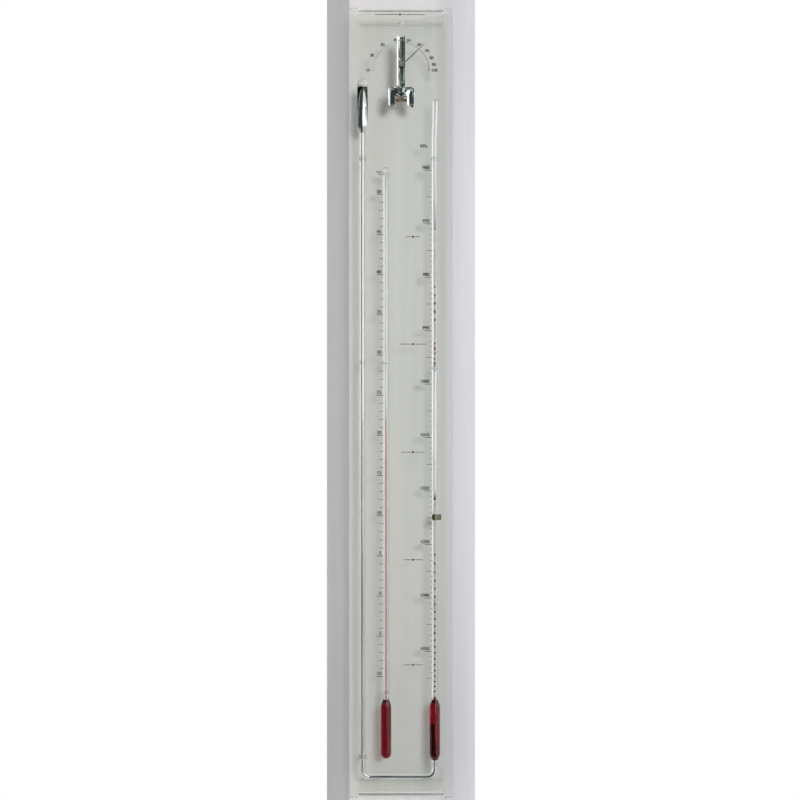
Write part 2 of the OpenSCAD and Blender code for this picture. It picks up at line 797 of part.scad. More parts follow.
module hygrometer_column() {
    color([0.75, 0.77, 0.77]) at_pivot() difference() {
        union() {
            translate([0, -column_out, foot_top]) linear_extrude(column_up - foot_top) difference() {
                translate([-column_w / 2, -column_d]) square([column_w, column_d]);
                translate([0, -column_t]) trough_section(column_w - 2 * column_t, column_d);
            }
            translate([-foot_w / 2, -web_front, foot_top - foot_l])
                cube([foot_w, column_t, foot_l + tiny]);
        }
        stud(post_x, column_screw_z, web_front, column_d, column_head_d / 2 + seat_slack);
        stud(post_x, yoke_screw_z, column_out - 1, column_t + 2, post_screw_d / 2 + screw_gap);
        stud(post_x, column_screw_z, column_out - 1, column_t + 2, post_screw_d / 2 + screw_gap);
        stud(0, 0, column_out - 1, column_t + 2, bush_d / 2 + seat_gap);
        stud(anchor_x(), anchor_z, column_out - 1, column_t + 2, anchor_d / 2 + seat_gap);
    }
}

module standoff_posts() {
    color([0.7, 0.72, 0.72]) at_pivot() {
        difference() {
            stud(post_x, yoke_screw_z, 0, fork_out, post_d / 2);
            stud(post_x, yoke_screw_z, -1, fork_out + 2, post_screw_d / 2 + screw_gap / 2);
        }
        difference() {
            stud(post_x, column_screw_z, 0, column_out, post_d / 2);
            stud(post_x, column_screw_z, -1, column_out + 2, post_screw_d / 2 + screw_gap / 2);
        }
    }
}

// A screw whose domed head sits in front of the given face
module domed_screw(x, z, face_out, head_d, shank_l) {
    dome_r = (head_d * head_d / 4 + dome_head_h * dome_head_h) / (2 * dome_head_h);
    translate([x, -face_out, z]) rotate([90, 0, 0]) {
        intersection() {
            translate([0, 0, dome_head_h - dome_r]) sphere(r = dome_r);
            cylinder(h = dome_head_h + 1, r = head_d / 2 + 1);
        }
        translate([0, 0, -shank_l]) cylinder(h = shank_l + tiny, r = post_screw_d / 2);
    }
}

module yoke_screw() {
    color([0.82, 0.84, 0.84]) at_pivot() difference() {
        domed_screw(post_x, yoke_screw_z, web_front, yoke_head_d, column_t + fork_t + screw_grip);
        translate([post_x - yoke_head_d, -web_front - dome_head_h - 1, yoke_screw_z - 0.4])
            cube([2 * yoke_head_d, 1.8, 0.8]);
    }
}

module column_screw() {
    color([0.82, 0.84, 0.84]) at_pivot() difference() {
        domed_screw(post_x, column_screw_z, web_front, column_head_d, column_t + screw_grip);
        translate([post_x - column_head_d, -web_front - dome_head_h - 1, column_screw_z - 0.4])
            cube([2 * column_head_d, 1.8, 0.8]);
    }
}

module post_back_screws() {
    color([0.7, 0.71, 0.72]) for (z = [yoke_screw_z, column_screw_z])
        translate([post_x, rear_y + washer_t, pivot_z() + z]) rotate([-90, 0, 0]) difference() {
            union() {
                cylinder(h = back_head_h, r1 = back_head_d / 2, r2 = back_head_d / 2 - 0.6);
                translate([0, 0, -washer_t - plate_t - screw_grip])
                    cylinder(h = washer_t + plate_t + screw_grip, r = post_screw_d / 2);
            }
            translate([-back_head_d, -0.4, back_head_h - 0.9]) cube([2 * back_head_d, 0.8, 1]);
        }
}

module post_washers() {
    color([0.65, 0.66, 0.67]) for (z = [yoke_screw_z, column_screw_z])
        translate([0, 0, pivot_z()]) difference() {
            along_depth(post_x, rear_y, z, washer_t, washer_d / 2);
            along_depth(post_x, rear_y - 1, z, washer_t + 2, post_screw_d / 2 + screw_gap);
        }
}

// Pointer and its bearings

module bearing_bridge() {
    inner_w = column_w - 2 * column_t;
    color([0.72, 0.6, 0.32]) at_pivot() difference() {
        translate([-inner_w / 2, -bridge_out - bridge_t, -bridge_h / 2])
            cube([inner_w, bridge_t, bridge_h]);
        stud(0, 0, bridge_out - 1, bridge_t + 2, spindle_d / 2 + spindle_gap);
    }
}

module rear_bush() {
    color([0.75, 0.62, 0.33]) at_pivot() difference() {
        union() {
            stud(0, 0, column_out, column_t, bush_d / 2);
            stud(0, 0, web_front, bush_flange_t, bush_flange_d / 2);
        }
        stud(0, 0, column_out - 1, column_t + bush_flange_t + 2, spindle_d / 2 + spindle_gap);
    }
}

module pointer_spindle() {
    color([0.6, 0.61, 0.62]) at_pivot()
        stud(0, 0, spindle_rear, spindle_front - spindle_rear, spindle_d / 2);
}

module ring_on_spindle(out, length, r) {
    difference() {
        stud(0, 0, out, length, r);
        stud(0, 0, out - 1, length + 2, spindle_d / 2 + seat_gap);
    }
}

module hair_drum() {
    color([0.76, 0.64, 0.34]) at_pivot() ring_on_spindle(drum_out, drum_l, drum_d / 2);
}

module pointer_hub() {
    color([0.76, 0.64, 0.34]) at_pivot() ring_on_spindle(needle_out - hub_l, hub_l, hub_d / 2);
}

module pointer_needle() {
    color([0.08, 0.08, 0.09]) at_pivot() rotate([0, -rest_angle, 0])
        translate([0, -needle_out, 0]) rotate([90, 0, 0]) difference() {
            union() {
                linear_extrude(needle_t) polygon([
                    [-counter_out, -needle_w / 2], [0, -needle_w / 2], [needle_l, -needle_tip_w / 2],
                    [needle_l, needle_tip_w / 2], [0, needle_w / 2], [-counter_out, needle_w / 2]
                ]);
                cylinder(h = needle_t, r = hub_d / 2 - 0.4);
            }
            translate([0, 0, -1]) cylinder(h = needle_t + 2, r = spindle_d / 2 + seat_gap);
        }
}

module counterweight() {
    color([0.74, 0.62, 0.33]) at_pivot() rotate([0, -rest_angle, 0])
        stud(-counter_out, 0, needle_out - counter_l, counter_l, counter_d / 2);
}

// Hair and tension spring

function anchor_x() = -wrap_r + anchor_d / 2 + anchor_gap + spring_wire / 2;
function ferrule_low() = lever_top + ferrule_l + hair_low_gap;

// The hair comes up from the lever, goes once round the drum and on up to the spring
function hair_path() = concat(
    [[arm_x, wrap_shift, ferrule_low()]],
    [
        for (i = [0 : wrap_rings])
            let (t = i / wrap_rings, a = 180 - 360 * t)
            [wrap_r * cos(a), wrap_shift * (1 - 2 * t), wrap_r * sin(a)]
    ],
    [[-wrap_r, -wrap_shift, upper_ferrule_up]]
);

module hair_bundle() {
    color([0.45, 0.3, 0.2]) at_pivot() translate([0, -hair_out, 0])
        swept_wire(hair_path(), hair_d / 2, 6);
}

module upper_ferrule() {
    color([0.78, 0.66, 0.36]) at_pivot() translate([-wrap_r, -spring_out, upper_ferrule_up])
        cylinder(h = ferrule_l, r = ferrule_d / 2);
}

module lower_ferrule() {
    color([0.78, 0.66, 0.36]) at_pivot() translate([arm_x, -hair_low_out, lever_top])
        cylinder(h = ferrule_l, r = ferrule_d / 2);
}

// Path of the tension spring: a straight lead, the curls, a straight shank and an eye round the pin
rings_per_turn = 8;
lead_z = upper_ferrule_up + ferrule_l;
lead_l = 1.2;
coil_z = lead_z + lead_l;
coil_l = spring_turns * spring_pitch;
eye_r = anchor_d / 2 + anchor_gap + spring_wire / 2;
eye_sweep = 250;
curl_steps = spring_turns * rings_per_turn;
ramp_turns = 0.75;
function curl_radius(turn) = spring_d / 2 * min(1, turn / ramp_turns, (spring_turns - turn) / ramp_turns);
function spring_path() = concat(
    [[0, 0, lead_z]],
    [
        for (i = [0 : curl_steps])
            let (turn = i / rings_per_turn, r = curl_radius(turn), a = 360 * turn)
            [r * cos(a), r * sin(a), coil_z + turn * spring_pitch]
    ],
    [
        for (i = [0 : 8])
            let (a = 180 - eye_sweep * i / 8)
            [eye_r + eye_r * cos(a), 0, anchor_z + eye_r * sin(a)]
    ]
);

function unit(v) = v / norm(v);
function square_to(n, t) = unit(n - (n * t) * t);
function path_tangent(p, i) = unit(p[min(i + 1, len(p) - 1)] - p[max(i - 1, 0)]);
function path_normals(p) = [
    for (i = 0, n = square_to([0, 1, 0], path_tangent(p, 0)); i < len(p);
        i = i + 1, n = i < len(p) ? square_to(n, path_tangent(p, i)) : n) n
];
function tube_rings(p, r, sides) =
    let (normals = path_normals(p))
    [
        for (i = [0 : len(p) - 1], k = [0 : sides - 1])
            let (n = normals[i], b = cross(path_tangent(p, i), n), a = 360 * k / sides)
            p[i] + r * (cos(a) * n + sin(a) * b)
    ];

// One unbroken tube of triangles along a path
module swept_wire(p, r, sides) {
    rings = len(p);
    walls = [
        for (i = [0 : rings - 2], k = [0 : sides - 1])
            let (a = i * sides + k, b = i * sides + (k + 1) % sides)
            each [[a, a + sides, b], [b, a + sides, b + sides]]
    ];
    start_cap = [for (k = [1 : sides - 2]) [0, k, k + 1]];
    base = (rings - 1) * sides;
    end_cap = [for (k = [1 : sides - 2]) [base, base + k + 1, base + k]];
    polyhedron(points = tube_rings(p, r, sides), faces = concat(walls, start_cap, end_cap));
}

// Least gap from one curl to the next, measured on the path's points
function least_gap(p, wire, apart) = min([
    for (i = [0 : len(p) - 1 - apart], j = [i + apart : len(p) - 1]) norm(p[i] - p[j]) - wire
]);
echo(spring_least_gap = least_gap(spring_path(), spring_wire, 6), hair_least_gap = least_gap(hair_path(), hair_d, 12));
echo(index_travel_down = index_low_travel, index_travel_up = index_high_travel);

module tension_spring() {
    color([0.78, 0.8, 0.8]) at_pivot() translate([-wrap_r, -spring_out, 0])
        swept_wire(spring_path(), spring_wire / 2, 6);
}

module spring_anchor() {
    head_out = spring_out + spring_wire / 2 + 0.15;
    color([0.8, 0.82, 0.82]) at_pivot() {
        stud(anchor_x(), anchor_z, column_out, head_out - column_out, anchor_d / 2);
        stud(anchor_x(), anchor_z, head_out, anchor_head_t, anchor_head_d / 2);
    }
}

// Adjustment

module adjusting_lever() {
    bar_left = lever_pivot_x - ear_w / 2;
    bar_right = adjuster_x + lever_end;
    color([0.72, 0.5, 0.25]) at_pivot() difference() {
        union() {
            translate([bar_left, -lever_front, lever_low]) cube([bar_right - bar_left, lever_t, lever_w]);
            translate([bar_left, -lever_front, lever_pivot_z]) cube([ear_w, lever_t, lever_low - lever_pivot_z + 1]);
            stud(lever_pivot_x, lever_pivot_z, lever_rear, lever_t, ear_w / 2);
            translate([arm_x - arm_w / 2, -arm_front, lever_low]) cube([arm_w, arm_front - lever_rear, lever_w]);
        }
        stud(lever_pivot_x, lever_pivot_z, lever_rear - 1, lever_t + 2, pivot_screw_d / 2 + spindle_gap);
        translate([adjuster_x, -lever_mid, lever_low - 1])
            cylinder(h = lever_w + 2, r = adjuster_d / 2 + adjuster_slack);
    }
}

module lever_pivot_screw() {
    shank_rear = lever_rear - nut_gap - nut_t - 0.4;
    color([0.8, 0.82, 0.82]) at_pivot() {
        stud(lever_pivot_x, lever_pivot_z, shank_rear, floor_out - shank_rear + tiny, pivot_screw_d / 2);
        stud(lever_pivot_x, lever_pivot_z, floor_out, small_head_h, small_head_d / 2);
    }
}

module lever_pivot_nut() {
    color([0.7, 0.72, 0.72]) at_pivot() difference() {
        translate([lever_pivot_x, -lever_rear + nut_gap, lever_pivot_z])
            rotate([-90, 0, 0]) cylinder(h = nut_t, d = nut_across / cos(30), $fn = 6);
        stud(lever_pivot_x, lever_pivot_z, lever_rear - nut_gap - nut_t - 1, nut_t + 2,
            pivot_screw_d / 2 + seat_gap);
    }
}

module adjusting_screw() {
    head_top = block_low - head_seat;
    color([0.12, 0.12, 0.13]) at_pivot() translate([adjuster_x, -lever_mid, 0]) difference() {
        union() {
            translate([0, 0, head_top - adjuster_head_h]) cylinder(h = adjuster_head_h, d = adjuster_head_d);
            translate([0, 0, head_top - tiny]) cylinder(h = lever_top + 2 - head_top, d = adjuster_d);
        }
        translate([-adjuster_head_d, -0.3, head_top - adjuster_head_h - 1])
            cube([2 * adjuster_head_d, 0.6, 1.9]);
    }
}

module stop_block() {
    color([0.68, 0.7, 0.7]) at_pivot() difference() {
        translate([adjuster_x - block_w / 2 - 0.6, -fork_out, block_low])
            cube([block_w, fork_out - block_rear, block_h]);
        translate([adjuster_x, -lever_mid, block_low - 1])
            cylinder(h = block_h + 2, r = adjuster_d / 2 + adjuster_gap);
        stud(rivet_x, lever_pivot_z, block_rear - 1, fork_out - block_rear + 2, rivet_d / 2 + seat_gap);
    }
}

module block_rivet() {
    color([0.8, 0.82, 0.82]) at_pivot() {
        stud(rivet_x, lever_pivot_z, block_rear, floor_out - block_rear + tiny, rivet_d / 2);
        stud(rivet_x, lever_pivot_z, floor_out, small_head_h, small_head_d / 2);
    }
}

backplate();
barometer_tube();
mercury_fill();
red_liquid();
pale_thread();
thread_droplets();
thermometer_tube();
thermometer_spirit();
long_limb_saddles();
scale_limb_saddles();
thermometer_saddles();
long_limb_ties();
scale_limb_ties();
thermometer_ties();
index_clip();
hygrometer_column();
hygrometer_fork();
standoff_posts();
yoke_screw();
column_screw();
post_back_screws();
post_washers();
bearing_bridge();
rear_bush();
pointer_spindle();
hair_drum();
pointer_hub();
pointer_needle();
counterweight();
hair_bundle();
upper_ferrule();
lower_ferrule();
tension_spring();
spring_anchor();
adjusting_lever();
lever_pivot_screw();
lever_pivot_nut();
adjusting_screw();
stop_block();
block_rivet();
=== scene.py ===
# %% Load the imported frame
import math

import bmesh
import bpy
from mathutils import Euler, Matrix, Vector


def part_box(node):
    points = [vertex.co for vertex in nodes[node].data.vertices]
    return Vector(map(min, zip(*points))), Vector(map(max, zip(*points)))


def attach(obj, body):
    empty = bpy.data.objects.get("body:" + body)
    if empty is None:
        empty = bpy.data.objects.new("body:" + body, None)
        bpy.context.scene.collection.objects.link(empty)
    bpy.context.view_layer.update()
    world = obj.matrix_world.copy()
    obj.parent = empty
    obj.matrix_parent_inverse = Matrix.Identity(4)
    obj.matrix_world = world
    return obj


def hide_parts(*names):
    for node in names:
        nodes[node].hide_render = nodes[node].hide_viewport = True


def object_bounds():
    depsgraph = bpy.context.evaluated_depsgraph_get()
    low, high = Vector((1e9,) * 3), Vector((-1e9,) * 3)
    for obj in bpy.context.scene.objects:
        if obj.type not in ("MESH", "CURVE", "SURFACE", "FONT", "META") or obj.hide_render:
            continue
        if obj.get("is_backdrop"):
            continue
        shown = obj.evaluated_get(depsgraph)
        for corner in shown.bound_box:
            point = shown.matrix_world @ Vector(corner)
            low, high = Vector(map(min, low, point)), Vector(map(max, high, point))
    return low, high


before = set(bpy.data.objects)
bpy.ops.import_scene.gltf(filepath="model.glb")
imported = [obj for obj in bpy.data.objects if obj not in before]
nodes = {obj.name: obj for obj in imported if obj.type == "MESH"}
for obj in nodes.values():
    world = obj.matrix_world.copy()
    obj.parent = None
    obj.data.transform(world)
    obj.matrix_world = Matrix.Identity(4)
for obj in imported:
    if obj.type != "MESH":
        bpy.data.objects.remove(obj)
cad_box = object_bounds()

# %% [markdown]
# The real object hangs on a wall: a clear plate that carries a folded mercury barometer, a spirit
# thermometer and a hair hygrometer. Every solid already sits in its place in the frame, with +Z up and
# the front facing -Y. Heights on the drawing count from the plate's lower edge in millimetres, so one
# small helper turns them into metres in the frame. That keeps the numbers below readable.

# %% Units and reference heights
MM = 0.001
plate_low, plate_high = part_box("backplate")
FOOT_Z = plate_low.z
PLATE_FACE_Y = plate_low.y
TUBE_Y = PLATE_FACE_Y - 7.0 * MM


def level(height_mm):
    """Height in the frame of a point that many millimetres above the plate's lower edge."""
    return FOOT_Z + height_mm * MM


print("plate from z", round(plate_low.z, 4), "to", round(plate_high.z, 4))

# %% [markdown]
# The camera comes first, because every later choice is judged through it. It stands 1.2 m in front of
# the plate, level with its middle, and looks straight at it. The lens follows from the size that one
# pixel of an 800 x 800 image covers at the plate.

# %% Camera
CAMERA_DISTANCE = 1.2
PIXEL_AT_PLATE = 1.2666 * MM
IMAGE_PIXELS = 800
SENSOR = 36.0
CAMERA_HEIGHT = 503.5

camera_data = bpy.data.cameras.new("front_camera")
camera = bpy.data.objects.new("front_camera", camera_data)
bpy.context.scene.collection.objects.link(camera)
camera.location = (-PIXEL_AT_PLATE, PLATE_FACE_Y - CAMERA_DISTANCE, level(CAMERA_HEIGHT))
camera.rotation_euler = Euler((math.radians(90), 0, 0))
camera_data.sensor_width = SENSOR
camera_data.lens = SENSOR * CAMERA_DISTANCE / (IMAGE_PIXELS * PIXEL_AT_PLATE)
camera_data.clip_start = 0.01
bpy.context.scene.camera = camera
print("lens", round(camera_data.lens, 2), "mm")

# %% [markdown]
# Materials are node trees. Most of them start from the Principled BSDF with a few plain settings, and
# then get nodes that vary colour, roughness or height over the surface. This helper makes the start, so
# that each finish below only has to say what is special about it.

# %% Helpers for materials
bpy.context.scene.view_settings.view_transform = "Standard"


def new_finish(name, color, roughness, metallic=0.0, **sockets):
    """A material with one Principled shader, and that shader."""
    material = bpy.data.materials.new(name)
    material.use_nodes = True
    shader = material.node_tree.nodes["Principled BSDF"]
    shader.inputs["Base Color"].default_value = (*color, 1)
    shader.inputs["Roughness"].default_value = roughness
    shader.inputs["Metallic"].default_value = metallic
    for socket, value in sockets.items():
        shader.inputs[socket.replace("_", " ")].default_value = value
    return material, shader


def add_node(material, kind, **inputs):
    """A node of that kind in the material's tree, with plain values on its named inputs."""
    node = material.node_tree.nodes.new(kind)
    for socket, value in inputs.items():
        node.inputs[socket.replace("_", " ")].default_value = value
    return node


def link(material, source, target):
    material.node_tree.links.new(source, target)


def math_node(tree, operation, *values):
    """The output of a Math node in a tree, from outputs of other nodes or plain numbers."""
    node = tree.nodes.new("ShaderNodeMath")
    node.operation = operation
    for place, value in enumerate(values):
        if isinstance(value, (int, float)):
            node.inputs[place].default_value = value
        else:
            tree.links.new(value, node.inputs[place])
    return node.outputs[0]


# %% [markdown]
# Two effects come back in many finishes. Polished things are never evenly polished: fine rubbing, dust
# and finger grease make the gloss vary. Cast, drawn or plated metal also has a slight waviness in its
# surface. Each is built once as a node group with named inputs, and placed with its own values where a
# material needs it.

# %% Shared effect: worn gloss
def make_worn_gloss():
    group = bpy.data.node_groups.new("worn_gloss", "ShaderNodeTree")
    sockets = group.interface
    for name, low, high in (("Base Roughness", 0.1, 1), ("Spread", 0.05, 1), ("Scale", 60, 5000)):
        socket = sockets.new_socket(name=name, in_out="INPUT", socket_type="NodeSocketFloat")
        socket.default_value = low
        socket.max_value = high
    sockets.new_socket(name="Roughness", in_out="OUTPUT", socket_type="NodeSocketFloat")
    sockets.new_socket(name="Mask", in_out="OUTPUT", socket_type="NodeSocketFloat")
    tree = group.nodes
    start = tree.new("NodeGroupInput")
    end = tree.new("NodeGroupOutput")
    place = tree.new("ShaderNodeTexCoord")
    cloud = tree.new("ShaderNodeTexNoise")
    cloud.inputs["Detail"].default_value = 6
    cloud.inputs["Roughness"].default_value = 0.65
    spread = tree.new("ShaderNodeMath")
    spread.operation = "MULTIPLY"
    total = tree.new("ShaderNodeMath")
    total.operation = "ADD"
    total.use_clamp = True
    wire = group.links.new
    wire(place.outputs["Object"], cloud.inputs["Vector"])
    wire(start.outputs["Scale"], cloud.inputs["Scale"])
    wire(cloud.outputs["Fac"], spread.inputs[0])
    wire(start.outputs["Spread"], spread.inputs[1])
    wire(spread.outputs[0], total.inputs[0])
    wire(start.outputs["Base Roughness"], total.inputs[1])
    wire(total.outputs[0], end.inputs["Roughness"])
    wire(cloud.outputs["Fac"], end.inputs["Mask"])
    return group


worn_gloss = make_worn_gloss()
print("group", worn_gloss.name)


# %% Shared effect: fine relief
def make_fine_relief():
    group = bpy.data.node_groups.new("fine_relief", "ShaderNodeTree")
    sockets = group.interface
    for name, value in (("Wave Scale", 200.0), ("Grain Scale", 4000.0), ("Grain Share", 0.3)):
        socket = sockets.new_socket(name=name, in_out="INPUT", socket_type="NodeSocketFloat")
        socket.default_value = value
    sockets.new_socket(name="Height", in_out="OUTPUT", socket_type="NodeSocketFloat")
    tree = group.nodes
    start = tree.new("NodeGroupInput")
    end = tree.new("NodeGroupOutput")
    place = tree.new("ShaderNodeTexCoord")
    wave = tree.new("ShaderNodeTexNoise")
    wave.inputs["Detail"].default_value = 1
    grain = tree.new("ShaderNodeTexNoise")
    grain.inputs["Detail"].default_value = 3
    share = tree.new("ShaderNodeMath")
    share.operation = "MULTIPLY"
    total = tree.new("ShaderNodeMath")
    total.operation = "ADD"
    wire = group.links.new
    wire(place.outputs["Object"], wave.inputs["Vector"])
    wire(place.outputs["Object"], grain.inputs["Vector"])
    wire(start.outputs["Wave Scale"], wave.inputs["Scale"])
    wire(start.outputs["Grain Scale"], grain.inputs["Scale"])
    wire(grain.outputs["Fac"], share.inputs[0])
    wire(start.outputs["Grain Share"], share.inputs[1])
    wire(wave.outputs["Fac"], total.inputs[0])
    wire(share.outputs[0], total.inputs[1])
    wire(total.outputs[0], end.inputs["Height"])
    return group


fine_relief = make_fine_relief()
print("group", fine_relief.name)


# %% Placing the shared effects in a material
def give_wear(material, shader, base, spread, scale):
    """Drives a shader's roughness by the worn gloss group, and returns the group's mask."""
    node = add_node(material, "ShaderNodeGroup")
    node.node_tree = worn_gloss
    node.inputs["Base Roughness"].default_value = base
    node.inputs["Spread"].default_value = spread
    node.inputs["Scale"].default_value = scale
    link(material, node.outputs["Roughness"], shader.inputs["Roughness"])
    return node.outputs["Mask"]


def give_relief(material, shader, strength, distance, wave, grain, share=0.3):
    """Bumps a shader's normal by the fine relief group."""
    node = add_node(material, "ShaderNodeGroup")
    node.node_tree = fine_relief
    node.inputs["Wave Scale"].default_value = wave
    node.inputs["Grain Scale"].default_value = grain
    node.inputs["Grain Share"].default_value = share
    bump = add_node(material, "ShaderNodeBump", Strength=strength, Distance=distance)
    link(material, node.outputs["Height"], bump.inputs["Height"])
    link(material, bump.outputs["Normal"], shader.inputs["Normal"])


def vary_color(material, shader, mask, dark, light, low=0.35, high=0.65):
    """Lets the colour run between two tones by a mask."""
    ramp = add_node(material, "ShaderNodeValToRGB")
    ramp.color_ramp.elements[0].position = low
    ramp.color_ramp.elements[1].position = high
    ramp.color_ramp.elements[0].color = (*dark, 1)
    ramp.color_ramp.elements[1].color = (*light, 1)
    link(material, mask, ramp.inputs["Fac"])
    link(material, ramp.outputs["Color"], shader.inputs["Base Color"])


# %% [markdown]
# Clear things need one more trick. In a path tracer a lamp's light doesn't pass straight through glass,
# so a clear plate would throw a black shadow. Mixing in a Transparent shader for shadow rays only lets
# the lamps reach the wall behind it, slightly dimmed, which is what clear acrylic and glass do.

# %% Helper for clear finishes
def let_lamps_through(material, shader, tint):
    """Shadow rays pass the surface with that tint; every other ray sees the shader."""
    path = add_node(material, "ShaderNodeLightPath")
    clear = add_node(material, "ShaderNodeBsdfTransparent", Color=(*tint, 1))
    mix = add_node(material, "ShaderNodeMixShader")
    output = material.node_tree.nodes["Material Output"]
    link(material, path.outputs["Is Shadow Ray"], mix.inputs["Fac"])
    link(material, shader.outputs["BSDF"], mix.inputs[1])
    link(material, clear.outputs["BSDF"], mix.inputs[2])
    link(material, mix.outputs["Shader"], output.inputs["Surface"])


def clear_finish(name, color, ior, roughness, spread, scale, shade):
    material, shader = new_finish(name, color, roughness, IOR=ior, Transmission_Weight=1.0)
    give_wear(material, shader, roughness, spread, scale)
    let_lamps_through(material, shader, shade)
    return material, shader


# %% [markdown]
# The clear finishes: the acrylic of the plate is slightly green and has faint rubbing marks. Its faces that
# look sideways were cut, so they are greener and less polished than the cast faces. Drawn glass is cleaner
# and a little more refractive. The small saddles are cemented to what they touch and hardly show. Glass
# inside glass would turn them into dark blocks, so they get a faint pale film by a low Alpha instead.

# %% Clear acrylic and glass
CUT_FROM, CUT_TO = 0.75, 0.9
CAST_GREEN, CUT_GREEN = (0.985, 0.995, 0.965), (0.5, 0.62, 0.55)


def mark_cut_faces(material, shader, cast_color, cut_color, cut_roughness):
    """Faces that look sideways get the colour and the roughness of a cut edge."""
    tree = material.node_tree
    facing = add_node(material, "ShaderNodeNewGeometry")
    parts = add_node(material, "ShaderNodeSeparateXYZ")
    link(material, facing.outputs["True Normal"], parts.inputs["Vector"])
    size = math_node(tree, "ABSOLUTE", parts.outputs["X"])
    vary_color(material, shader, size, cast_color, cut_color, CUT_FROM, CUT_TO)
    rough = add_node(material, "ShaderNodeMapRange", From_Min=CUT_FROM, From_Max=CUT_TO, To_Max=cut_roughness)
    link(material, size, rough.inputs["Value"])
    worn = shader.inputs["Roughness"].links[0].from_socket
    link(material, math_node(tree, "ADD", worn, rough.outputs["Result"]), shader.inputs["Roughness"])


acrylic, acrylic_shader = clear_finish("clear_acrylic", CAST_GREEN, 1.49, 0.0, 0.03, 40, (0.89, 0.905, 0.88))
mark_cut_faces(acrylic, acrylic_shader, CAST_GREEN, CUT_GREEN, 0.4)
give_relief(acrylic, acrylic_shader, 0.05, 0.0004, 14, 900, 0.02)
saddle_acrylic, saddle_shader = new_finish("cemented_acrylic", (0.9, 0.94, 0.92), 0.1, IOR=1.3, Alpha=0.16)
give_wear(saddle_acrylic, saddle_shader, 0.08, 0.1, 300)
glass, glass_shader = clear_finish("clear_glass", (0.985, 0.995, 0.99), 1.5, 0.0, 0.01, 120,
                                   (0.88, 0.9, 0.89))
print("clear finishes:", acrylic.name, glass.name)

# %% [markdown]
# The liquids touch their glass without any air between, so each liquid's mesh reaches a hair into the
# glass wall, and light meets the liquid inside the glass. Mercury is a mirror. The red liquid bends light
# almost as glass does, so next to glass it acts as a pure tint: its own refraction is set to nearly one.

# %% Liquids
mercury, mercury_shader = new_finish("mercury", (0.8, 0.81, 0.82), 0.03, 1.0)
give_wear(mercury, mercury_shader, 0.015, 0.03, 300)


def tinted_liquid(name, color, shade):
    material, shader = new_finish(name, color, 0.0, IOR=1.03, Transmission_Weight=1.0)
    mask = give_wear(material, shader, 0.0, 0.02, 200)
    dark = tuple(c * 0.9 for c in color)
    vary_color(material, shader, mask, dark, color)
    let_lamps_through(material, shader, shade)
    return material


def paler_above(material, low, high, color):
    """A thin thread of liquid swallows less light, so above a height the tint runs to a paler one."""
    shader = material.node_tree.nodes["Principled BSDF"]
    deep = shader.inputs["Base Color"].links[0].from_socket
    place = add_node(material, "ShaderNodeTexCoord")
    parts = add_node(material, "ShaderNodeSeparateXYZ")
    share = add_node(material, "ShaderNodeMapRange", From_Min=low, From_Max=high)
    mix = add_node(material, "ShaderNodeMix")
    mix.data_type = "RGBA"
    mix.inputs["B"].default_value = (*color, 1)
    link(material, place.outputs["Object"], parts.inputs["Vector"])
    link(material, parts.outputs["Z"], share.inputs["Value"])
    link(material, share.outputs["Result"], mix.inputs["Factor"])
    link(material, deep, mix.inputs["A"])
    link(material, mix.outputs["Result"], shader.inputs["Base Color"])


red_liquid_finish = tinted_liquid("dark_red_liquid", (0.34, 0.006, 0.018), (0.5, 0.05, 0.07))
spirit_finish = tinted_liquid("dark_red_spirit", (0.3, 0.006, 0.014), (0.5, 0.05, 0.07))
pale_finish = tinted_liquid("pale_red_liquid", (1.0, 0.95, 0.95), (0.97, 0.9, 0.9))
droplet_finish = tinted_liquid("droplet_red_liquid", (0.3, 0.004, 0.02), (0.6, 0.1, 0.15))
BULB_TOP, THREAD_FOOT = 118, 132
paler_above(spirit_finish, level(BULB_TOP), level(THREAD_FOOT), (0.82, 0.3, 0.36))
print("liquids made")

# %% [markdown]
# The metals differ in colour, in how evenly they are polished and in their relief. Chromed pieces are
# mirror bright with a soft waviness under the plating, wire and screws are duller, and the copper lever
# has darkened with age.

# %% Metals
def metal_finish(name, dark, light, base, spread, scale, strength=0.0, wave=300, grain=5000):
    material, shader = new_finish(name, light, base, 1.0)
    mask = give_wear(material, shader, base, spread, scale)
    vary_color(material, shader, mask, dark, light)
    if strength:
        give_relief(material, shader, strength, 0.0002, wave, grain)
    return material


METALS = {
    "chromed_brass": metal_finish("chromed_brass", (0.6, 0.66, 0.64), (0.72, 0.76, 0.75), 0.02, 0.05, 350,
                                  0.1, 300, 9000),
    "plated_steel": metal_finish("plated_steel", (0.45, 0.46, 0.46), (0.62, 0.63, 0.62), 0.22, 0.2, 600,
                                 0.3, 500, 9000),
    "bright_brass": metal_finish("bright_brass", (0.44, 0.42, 0.34), (0.7, 0.67, 0.56), 0.1, 0.15, 700,
                                 0.2, 600, 9000),
    "dull_brass": metal_finish("dull_brass", (0.13, 0.125, 0.08), (0.3, 0.29, 0.2), 0.28, 0.25, 450,
                               0.4, 500, 9000),
    "aged_copper": metal_finish("aged_copper", (0.2, 0.13, 0.07), (0.42, 0.3, 0.18), 0.4, 0.25, 500,
                                0.4, 500, 7000),
    "black_steel": metal_finish("black_steel", (0.03, 0.03, 0.032), (0.09, 0.09, 0.095), 0.3, 0.2, 700,
                                0.3, 600, 9000),
    "black_aluminium": metal_finish("black_aluminium", (0.02, 0.02, 0.022), (0.06, 0.06, 0.065), 0.35,
                                    0.2, 900, 0.2, 900, 9000),
}
rubbed_chrome = metal_finish("rubbed_chrome", (0.58, 0.64, 0.62), (0.72, 0.76, 0.75), 0.02, 0.05, 300,
                             0.38, 230, 7000)
print("metals:", ", ".join(METALS), "and", rubbed_chrome.name)

